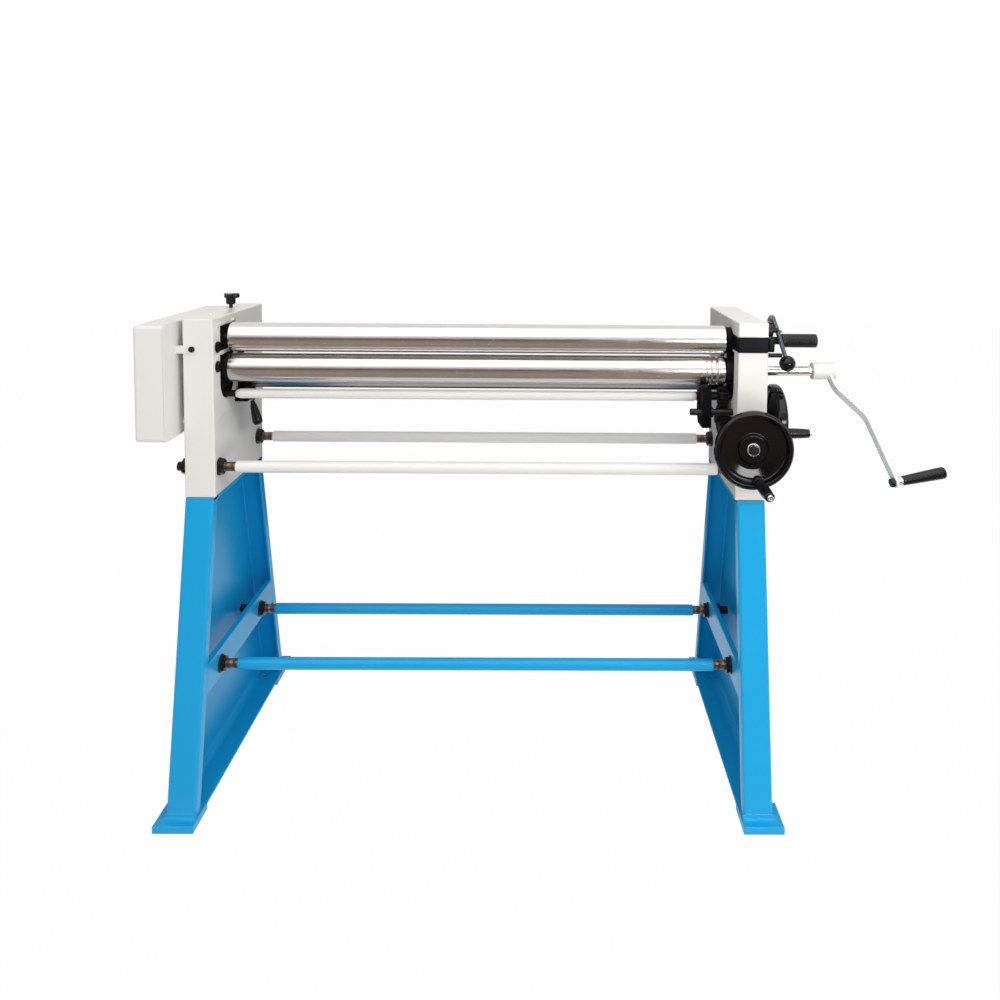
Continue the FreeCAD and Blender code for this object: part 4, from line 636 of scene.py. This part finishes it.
COVER_FRONT, COVER_REAR, COVER_LOW, COVER_TOP = -33, 47, 850, 1016
rim = [(COVER_FRONT, COVER_LOW), (COVER_REAR, COVER_LOW), (COVER_REAR, COVER_TOP), (COVER_FRONT, COVER_TOP)]
covers = bmesh.new()
for side in (-1, 1):
    flat_plate(covers, "x", side * 719, side * 722, softened(rim, [6] * 4), soft=0.7)
piece("lift_covers", covers, gloss_black, "base", "lift_covers")
spots = [(722.4, y, z) for y in (COVER_FRONT + 8, COVER_REAR - 8) for z in (COVER_LOW + 8, COVER_TOP - 8)]
heads = grown("cover_plate_screws", screw_tree(), spots, {"Head radius": 0.0045, "Head height": 0.0016,
                                                          "Finish": pale_zinc})
mirrored = heads.copy()
bmesh.ops.scale(mirrored, vec=(-1, 1, 1), verts=mirrored.verts)
bmesh.ops.reverse_faces(mirrored, faces=mirrored.faces)
piece("cover_plate_screws", add(heads, mirrored), pale_zinc, "base", ())


# ---- Rolls ---------------------------------------------------------------------------------------
# Three ground steel rolls with chamfered ends and fine turning marks. The lower one has three wire
# grooves near the crank, and its shaft runs out to the crank. The rear one is left darker, and
# near-black collars, their colour painted shade, close the gap between the lower roll and its recesses.
ground_steel = finish("ground_steel", (0.66, 0.648, 0.636), 0.22, metal=1.0, drift=0.05, drift_size=22, skin=0.05,
                      skin_size=620, stretch=(1.0, 0.05, 0.05), round_edges=0.0006)
shaft_steel = finish("shaft_steel", (0.36, 0.34, 0.33), 0.24, metal=1.0, drift=0.08, drift_size=60, skin=0.15,
                     skin_size=800, round_edges=0.0004)
RADIUS = 37
REAR_AXIS = (7, 1021.6)


def barrel(low, high, grooves=()):
    """Profile of a roll's working length from one chamfered end to the other."""
    profile = [(low, RADIUS - 3), (low + 1.6, RADIUS - 0.9), (low + 3, RADIUS)]
    for place, deep in grooves:
        for step in range(9):
            swing = math.radians(180 * step / 8)
            sunk = deep * math.sin(swing) * 0.9 + (0 if step in (0, 8) else 0.05)
            profile.append((place - deep * math.cos(swing), RADIUS - sunk))
    return profile + [(high - 3, RADIUS), (high - 1.6, RADIUS - 0.9), (high, RADIUS - 3)]


def roll(centre, low, high, journals, grooves=()):
    """A roll and the journals that carry it."""
    form = turned(bmesh.new(), "x", centre, [(low, 13)] + barrel(low, high, grooves) + [(high, 13)], 96)
    for start, stop, radius in journals:
        turned(form, "x", centre, [(start, radius - 1), (start + 1, radius), (stop - 1, radius), (stop, radius - 1)])
    return form


def ball(middle, radius, step):
    """Profile of a ball from pole to pole."""
    swings = [math.radians(degrees) for degrees in range(0, 181, step)]
    return [(middle - radius * math.cos(swing), max(0.3, radius * math.sin(swing))) for swing in swings]


lower = roll(LOWER_AXIS, -634, 629, [(-746, -630, 16), (-784, -745, 14), (626, 698.4, 16)],
             [(579, 1.8), (592, 2.7), (606, 3.6)])
turned(lower, "x", LOWER_AXIS, [(697, 12.5), (903.6, 12.5), (905, 11.3)])
piece("lower_roll", lower, ground_steel, "lower_spin", "lower_roll", 24)
upper = roll(UPPER_AXIS, -632, 629, [(-682, -628, 12), (626, 705, 14)])
turned(upper, "x", UPPER_AXIS, ball(-682, 17, 12), 40)
turned(upper, "z", (-682, -93), [(1111, 3.4), (1111.6, 4), (1156.4, 4), (1157, 3.4)], 20)
piece("upper_roll", upper, ground_steel, "upper_spin", "upper_roll", 24)
rear = roll(REAR_AXIS, -612, 604, [(-655, -608, 15), (600, 655, 15)])
piece("rear_roll", rear, shaft_steel, "rear_spin", "rear_roll", 24)

# The collars take the near-black iron as painted shade in the mouths of the recesses.
collars = bmesh.new()
for side, end in ((-1, 634.8), (1, 629.8)):
    collar = [(end, 17), (end, 31), (end + 2, 33), (646, 33), (652, 28), (652, 17)]
    turned(collars, "x", LOWER_AXIS, [(side * along, radius) for along, radius in collar], 64, closed=True)
piece("roll_collars", collars, oiled_iron_and_recess_shade, "lower_slide", "lower_bushes", 30)


# ---- Hand wheels ---------------------------------------------------------------------------------
# Two dished wheels cast in iron, turned on the rim and finished in deep gloss black. A black
# moulded grip turns on a steel bolt near the rim. Washer and nut hold each wheel on its shaft,
# which comes out of the frame through a black flange.
# Its slightly lighter edge colour is a painted edge highlight.
wet_black = finish("wet_black", (0.002, 0.002, 0.003), 0.11, mirror=0.3, drift=0.2, drift_size=14, skin=0.05,
                   skin_size=160, edge_wear_and_highlight=(0.02, 0.02, 0.022), round_edges=0.0015)
moulded_black = finish("moulded_black", (0.005, 0.005, 0.006), 0.24, mirror=0.3, drift=0.15, drift_size=60,
                       skin=0.03, skin_size=500, round_edges=0.0008)
FRONT_WHEEL_AXIS, SIDE_WHEEL_AXIS = (674, 889), (-93, 928.5)


def hand_wheel(hand, axis, face, along, rim, centre, grip_centre):
    """One wheel with its hub, grip seat, hardware and grip; offsets are outward from its face."""
    def stood(profile):
        return [(face + along * offset, radius) for offset, radius in profile]

    dish = [(10.2, -18), (20, -18), (20, -6), (36, -6), (66, 0), (rim - 16, 3), (rim - 12, 0), (rim - 5, 0),
            (rim, 6), (rim, 19), (rim - 5, 25), (rim - 12, 25), (rim - 17, 9.4), (69, 8.2), (50, 3.4), (38, 2),
            (34, 9), (10.2, 9)]
    dish = softened(dish, [1, 1.5, 3, 5, 12, 3, 3, 4, 6, 6, 4, 5, 8, 9, 9, 4, 3, 0.6])
    wheel = turned(bmesh.new(), axis, centre, stood([(offset, radius) for radius, offset in dish]), 112, closed=True)
    seat = [(3, 5.1), (3, 16), (8, 15), (23.5, 14), (25, 12.6), (25, 5.1)]
    turned(wheel, axis, grip_centre, stood(seat), closed=True)
    piece(hand + "_wheel", wheel, wet_black, hand + "_drive", hand + "_wheel", 32)

    washer = [(9, 10.2), (9, 15.2), (9.6, 16), (11.4, 16), (12, 15.2), (12, 10.2)]
    steel = turned(bmesh.new(), axis, centre, stood(washer), 64, closed=True)
    turned(steel, axis, grip_centre, stood([(2, 5), (124, 5)]), 24)
    cap = [(123, 5), (124, 7), (127.6, 7), (128.8, 5.8), (129, 4.6), (128.2, 3.9), (128.2, 0.3)]
    turned(steel, axis, grip_centre, stood(cap), 40)
    piece(hand + "_wheel_steel", steel, pale_zinc, hand + "_drive", hand + "_wheel_hardware", 30)
    low, high = sorted((face + along * 12, face + along * 17))
    dark = nut(bmesh.new(), axis, centre, low, high, 23, 10.1)
    piece(hand + "_wheel_nut", dark, blackened, hand + "_drive", ())

    swell = []
    for step in range(1, 24):
        share = step / 24
        radius = 10.5 + 2.6 * math.sin(math.pi * min(1, share * 1.05) ** 0.9) + 1.0 * share
        swell.append((25.3 + 98.2 * share, radius))
    handle = ([(25.3, 5.2), (25.3, 9.6), (26.4, 10.6)] + swell
              + [(120.4, 11.6), (122.4, 10.6), (123.5, 8.4), (123.5, 5.2)])
    grip = turned(bmesh.new(), axis, grip_centre, stood(handle), 64, closed=True)
    piece(hand + "_grip", grip, moulded_black, hand + "_handle", hand + "_grip", 40)


hand_wheel("front", "y", -228, -1, 96, FRONT_WHEEL_AXIS, (686, 810))
hand_wheel("side", "x", 750, 1, 91, SIDE_WHEEL_AXIS, (-33, 876.5))
flanges = turned(bmesh.new(), "y", FRONT_WHEEL_AXIS, [(-197, 10.2), (-197, 21), (-195.5, 23.5), (-190, 24),
                                                      (-183, 24), (-183, 10.2)], 64, closed=True)
turned(flanges, "x", SIDE_WHEEL_AXIS, [(731, 10.2), (731, 21), (729.5, 23.5), (725, 24), (719, 24), (719, 10.2)],
       64, closed=True)
piece("wheel_flanges", flanges, gloss_black, "base", "wheel_flanges")


# ---- Crank ---------------------------------------------------------------------------------------
# A flat steel bar bent twice and welded to a sleeve, all in white enamel, on the end of the lower
# roll's shaft. A tapered moulded grip turns on a bolt through the rounded end of the bar.
crank_enamel = finish("crank_enamel", (0.80, 0.79, 0.755), 0.4, drift=0.02, drift_size=12, skin=0.02,
                      skin_size=260, round_edges=0)
CRANK = Matrix.Translation((719, *LOWER_AXIS)) @ Matrix.Rotation(math.radians(-40), 4, "X")
ARM = [(176, 0, -2), (187, 0, -52), (248, 0, -130), (282, 0, -299)]
LAST = (Vector(ARM[3]) - Vector(ARM[2])).normalized()
OUTWARD = Vector((0, 1, 0)).cross(LAST) * -1
GRIP = CRANK @ Matrix.Translation(ARM[3]) @ OUTWARD.to_track_quat("Z", "Y").to_matrix().to_4x4()


def follow(path, section, place):
    """Sweep an outline along a path in the XZ plane, keeping its width along Y."""
    up = Vector((0, 1, 0))
    rings = []
    for index, point in enumerate(path):
        before, after = path[max(0, index - 1)], path[min(len(path) - 1, index + 1)]
        across = up.cross((after - before).normalized())
        outline = section(index / (len(path) - 1))
        rings.append([place @ (point + across * u + up * v) for u, v in outline])
    return loft(bmesh.new(), rings)


def bent(points, radii, steps):
    """An open path with its inner corners rounded."""
    points = [Vector(point) for point in points]
    path = [points[0]]
    for before, corner, after, radius in zip(points, points[1:], points[2:], radii):
        path += eased(corner, before - corner, after - corner, radius, 0.45, steps)
    return path + [points[-1]]


def moved(form, place):
    """Move a shape by a placement in millimetres."""
    bmesh.ops.transform(form, verts=form.verts, matrix=Matrix.Diagonal((MM, MM, MM, 1)) @ place
                        @ Matrix.Diagonal((1 / MM, 1 / MM, 1 / MM, 1)))
    return form


def on_grip(profile, steps=48):
    """A turned shape about the axis of the crank's grip, measured from the middle of the bar."""
    return moved(turned(bmesh.new(), "z", (0, 0), profile, steps), GRIP)


bar = softened([(-3.5, -12), (3.5, -12), (3.5, 12), (-3.5, 12)], [2.2] * 4, 3)
crank = follow(bent(ARM, [70, 70], 14), lambda share: bar, CRANK)
sleeve = [(136, 12.7), (136, 20.5), (137.5, 22), (193.4, 22), (195, 20.5), (195, 0.4)]
add(crank, moved(turned(bmesh.new(), "x", (0, 0), sleeve, 64), CRANK))
add(crank, on_grip([(-3.5, 0.4), (-3.5, 11.5), (-2.8, 12.6), (2.8, 12.6), (3.5, 11.5), (3.5, 0.4)]))
piece("crank", crank, crank_enamel, "lower_spin", "crank", 35)
bolt = on_grip([(-14, 4.8), (-13, 6), (3.4, 6)], 32)
add(bolt, moved(nut(bmesh.new(), "z", (0, 0), -13, -3.5, 19, 6), GRIP))
piece("crank_nut", bolt, blackened, "lower_spin", ())
ferrule = on_grip([(3.5, 0.4), (3.5, 9.2), (4.4, 10), (15.2, 10), (16, 9.2), (16, 0.4)])
piece("crank_ferrule", ferrule, pale_zinc, "lower_spin", "crank_bolt")
taper = [(17.2 + 101 * step / 20, 11 + 3.2 * (step / 20) ** 0.85) for step in range(1, 20)]
handle = ([(16.3, 0.4), (16.3, 10.2), (17.2, 11)] + taper
          + [(121, 13.9), (123.6, 12.8), (125.2, 10.6), (125.9, 7), (126, 0.4)])
piece("crank_grip", on_grip(handle, 64), moulded_black, "crank_handle", "crank_grip", 50)


# ---- Swing block and its grip --------------------------------------------------------------------
# The upper roll's right bearing is a black bar that swings out of the open frame. A rubber sleeve
# moulded with fine ribs is pushed onto its round tail.
ribbed_rubber = finish("ribbed_rubber", (0.008, 0.008, 0.009), 0.42, mirror=0.35, drift=0.3, drift_size=70,
                       skin=0.35, skin_size=900, round_edges=0.0005)
swing = bmesh.new()
turned(swing, "x", UPPER_AXIS, [(630, 17), (630, 32), (632, 34), (643.4, 34), (643.4, 17)], 72, closed=True)
block(swing, (643.5, -186, 1116.6), (718.8, -60, 1154.0), 2.5)
block(swing, (718, -186, 1118), (734, -72, 1149), 3.5)
turned(swing, "x", UPPER_AXIS, [(733, 13), (741, 13), (742.5, 11.5), (742.5, 10), (860, 10)])
piece("swing_block", swing, gloss_black, "swing", "swing_block")


def rib_tree():
    """Fine ribs round a sleeve along X: rings repeated at an even pitch."""
    tree, given, points = recipe("sleeve_ribs", {"Count": 18, "Pitch": 0.004, "Sleeve radius": 0.0168,
                                                 "Rib": 0.0011})
    hoop = wired(tree, "GeometryNodeCurvePrimitiveCircle", {"Resolution": 56, "Radius": given["Sleeve radius"]})
    thick = wired(tree, "GeometryNodeCurvePrimitiveCircle", {"Resolution": 6, "Radius": given["Rib"]})
    ring = wired(tree, "GeometryNodeCurveToMesh", {"Curve": hoop, "Profile Curve": thick})
    step = wired(tree, "ShaderNodeCombineXYZ", {"X": given["Pitch"]})
    row = wired(tree, "GeometryNodeMeshLine", {"Count": given["Count"], "Offset": step})
    rows = wired(tree, "GeometryNodeInstanceOnPoints", {"Points": points, "Instance": row})
    return repeated(tree, given, ring, wired(tree, "GeometryNodeRealizeInstances", {0: rows}))


sleeve = [(774, 10.1), (774, 16.4), (775.6, 17.6), (779, 17.9), (781, 16.8), (859, 16.8), (861, 17.9),
          (863.6, 17.2), (865, 14.5), (865, 0.4)]
ribs = grown("sleeve_ribs", rib_tree(), [(784.5, *UPPER_AXIS)],
             {"Count": 18, "Pitch": 0.0042, "Sleeve radius": 0.0166, "Rib": 0.0012, "Finish": ribbed_rubber})
piece("swing_grip", add(turned(bmesh.new(), "x", UPPER_AXIS, sleeve, 72), ribs), ribbed_rubber, "swing",
      "swing_grip", 50)


# ---- Cam lever -----------------------------------------------------------------------------------
# A short blackened cam drum on the right frame locks the swing block. Its lever is forged from
# round bar, left a dull gun colour, and ends in a gloss black ball.
gunmetal = finish("gunmetal", (0.10, 0.11, 0.125), 0.34, metal=0.5, mirror=0.3, drift=0.12, drift_size=60,
                  skin=0.04, skin_size=500, round_edges=0.0006)
drum = [(690, 8), (719.3, 8), (719.4, 18), (720.4, 19), (732.6, 19), (734, 17.6), (734, 7.4), (747.8, 7.4),
        (749, 6.4)]
piece("cam_hub", turned(bmesh.new(), "x", (-153, 1169.6), drum, 56), blackened, "cam", "cam_hub")
LEVER = [(725, -153, 1190), (733.5, -153, 1204), (748, -153, 1166), (771, -153, 1097)]


def lever_section(share):
    """A slightly flattened round that thins toward the ball and is rounded off at both ends."""
    wide = 6.7 - 1.0 * share if 0.02 < share < 0.99 else 5.0
    return [(u, v * 0.85) for u, v in circle((0, 0), wide, 20)]


rod = follow(bent(LEVER, [9, 60], 10), lever_section, Matrix())
turned(rod, "x", (-153, 1166), [(742, 3.2), (757.4, 3.2), (758.5, 2.2)], 20)
piece("lever_rod", rod, gunmetal, "cam", "lever_rod", 50)
knob = turned(bmesh.new(), "x", (-153, 1085), ball(775, 20, 6), 64)
piece("lever_ball", knob, wet_black, "cam", "lever_ball", 60)


# ---- Star knob and clamp lever -------------------------------------------------------------------
# A three-lobed knob moulded in black plastic screws into the left frame's top. A moulded locking
# lever on a turned boss clamps the bracket by that frame's inner face.
STAR, LOBE_REACH, LOBE_SWELL = (-692, 69), 16.6, 6.2
rings = []
for height, shrink in ((1215.4, 0.62), (1216.6, 0.93), (1218.4, 1.0), (1226.6, 1.0), (1228.6, 0.95), (1229, 0.86)):
    ring = []
    for step in range(96):
        angle = 2 * math.pi * step / 96
        reach = (LOBE_REACH + LOBE_SWELL * math.cos(3 * (angle - math.radians(30)))) * shrink
        ring.append((STAR[0] + reach * math.cos(angle), STAR[1] + reach * math.sin(angle), height))
    rings.append(ring)
star = loft(bmesh.new(), rings)
turned(star, "z", STAR, [(1199.8, 10.6), (1201, 12), (1214, 12.6), (1217, 14)])
turned(star, "z", STAR, [(1160, 5), (1202, 5)], 24)
piece("star_knob", star, moulded_black, "knob", "star_knob", 45)

boss = [(-634, 5), (-612, 5), (-611.7, 8.2), (-610.6, 9), (-599, 9), (-598, 8)]
clamp = turned(bmesh.new(), "x", (-23, 965), boss, 40)
START, STOP = Vector((-605, -23, 951)), Vector((-590, -23, 890))
lean = Matrix.Translation(START) @ (STOP - START).to_track_quat("Z", "Y").to_matrix().to_4x4()
handle = [(-3, 5.0), (4, 5.6), (7, 7.4), (12, 8.6), (30, 11.0), (46, 12.6), (55, 12.6), (60, 11.0), (62.6, 7.4),
          (63.4, 3), (63.6, 0.3)]
add(clamp, moved(turned(bmesh.new(), "z", (0, 0), handle), lean))
piece("clamp_lever", clamp, moulded_black, "clamp", "clamp_lever", 50)


# ---- Sync shaft and its bracket ------------------------------------------------------------------
# A white shaft with tapered ends turns both lower bearings' eccentrics at once. Its black bracket
# is held to the right frame by a stud.
SYNC_AXIS, CAM_AXIS = (-93, 988), (-97.5, 988)
tube = [(-621, 9), (-611, 12.4), (-610, 12.5), (549.4, 12.5), (550.5, 12.3), (558, 10)]
piece("sync_tube", turned(bmesh.new(), "x", SYNC_AXIS, tube, 56), white_enamel, "sync", ())
ends = turned(bmesh.new(), "x", SYNC_AXIS, [(-711, 9), (-620, 9)], 40)
turned(ends, "x", SYNC_AXIS, [(557, 10), (612, 10), (612, 9), (711, 9)], 40)
for side in (-1, 1):
    turned(ends, "x", CAM_AXIS, [(side * 654, 15), (side * 655, 16), (side * 696, 16), (side * 697, 15)])
piece("sync_ends", ends, oiled_iron_and_recess_shade, "sync", "sync_shaft")
stud = turned(bmesh.new(), "x", (-132, 956), [(537, 7.2), (538.5, 8.5), (655, 8.5)], 40)
turned(stud, "x", (-132, 956), [(589, 8), (589, 12.4), (590, 13), (594.4, 13), (595, 12.4), (595, 8)], 40)
piece("bracket_stud", stud, blackened, "base", "bracket_stud")


# ---- Carried-over working parts ------------------------------------------------------------------
# Gears, bearing blocks, lift screws, shafts and brackets keep the shapes they were machined to. The
# screws are bright steel, the shafts blackened, the brackets painted and the rest near-black iron:
# oily on the gears, painted shade in the recesses.
for nodes, made in ((("lift_screw_left", "lift_screw_right"), shaft_steel),
                    (("side_shaft", "front_shaft"), blackened),
                    (("cross_shaft", "sync_gear", "side_gear", "lower_gear", "upper_gear", "lower_block_left",
                      "lower_block_right", "swing_bush", "rear_bushes"), oiled_iron_and_recess_shade),
                    (("clamp_bracket", "rear_block_left", "rear_block_right", "sync_bracket"), gloss_black)):
    for node in nodes:
        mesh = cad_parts[node].data
        mesh.materials.clear()
        mesh.materials.append(made)
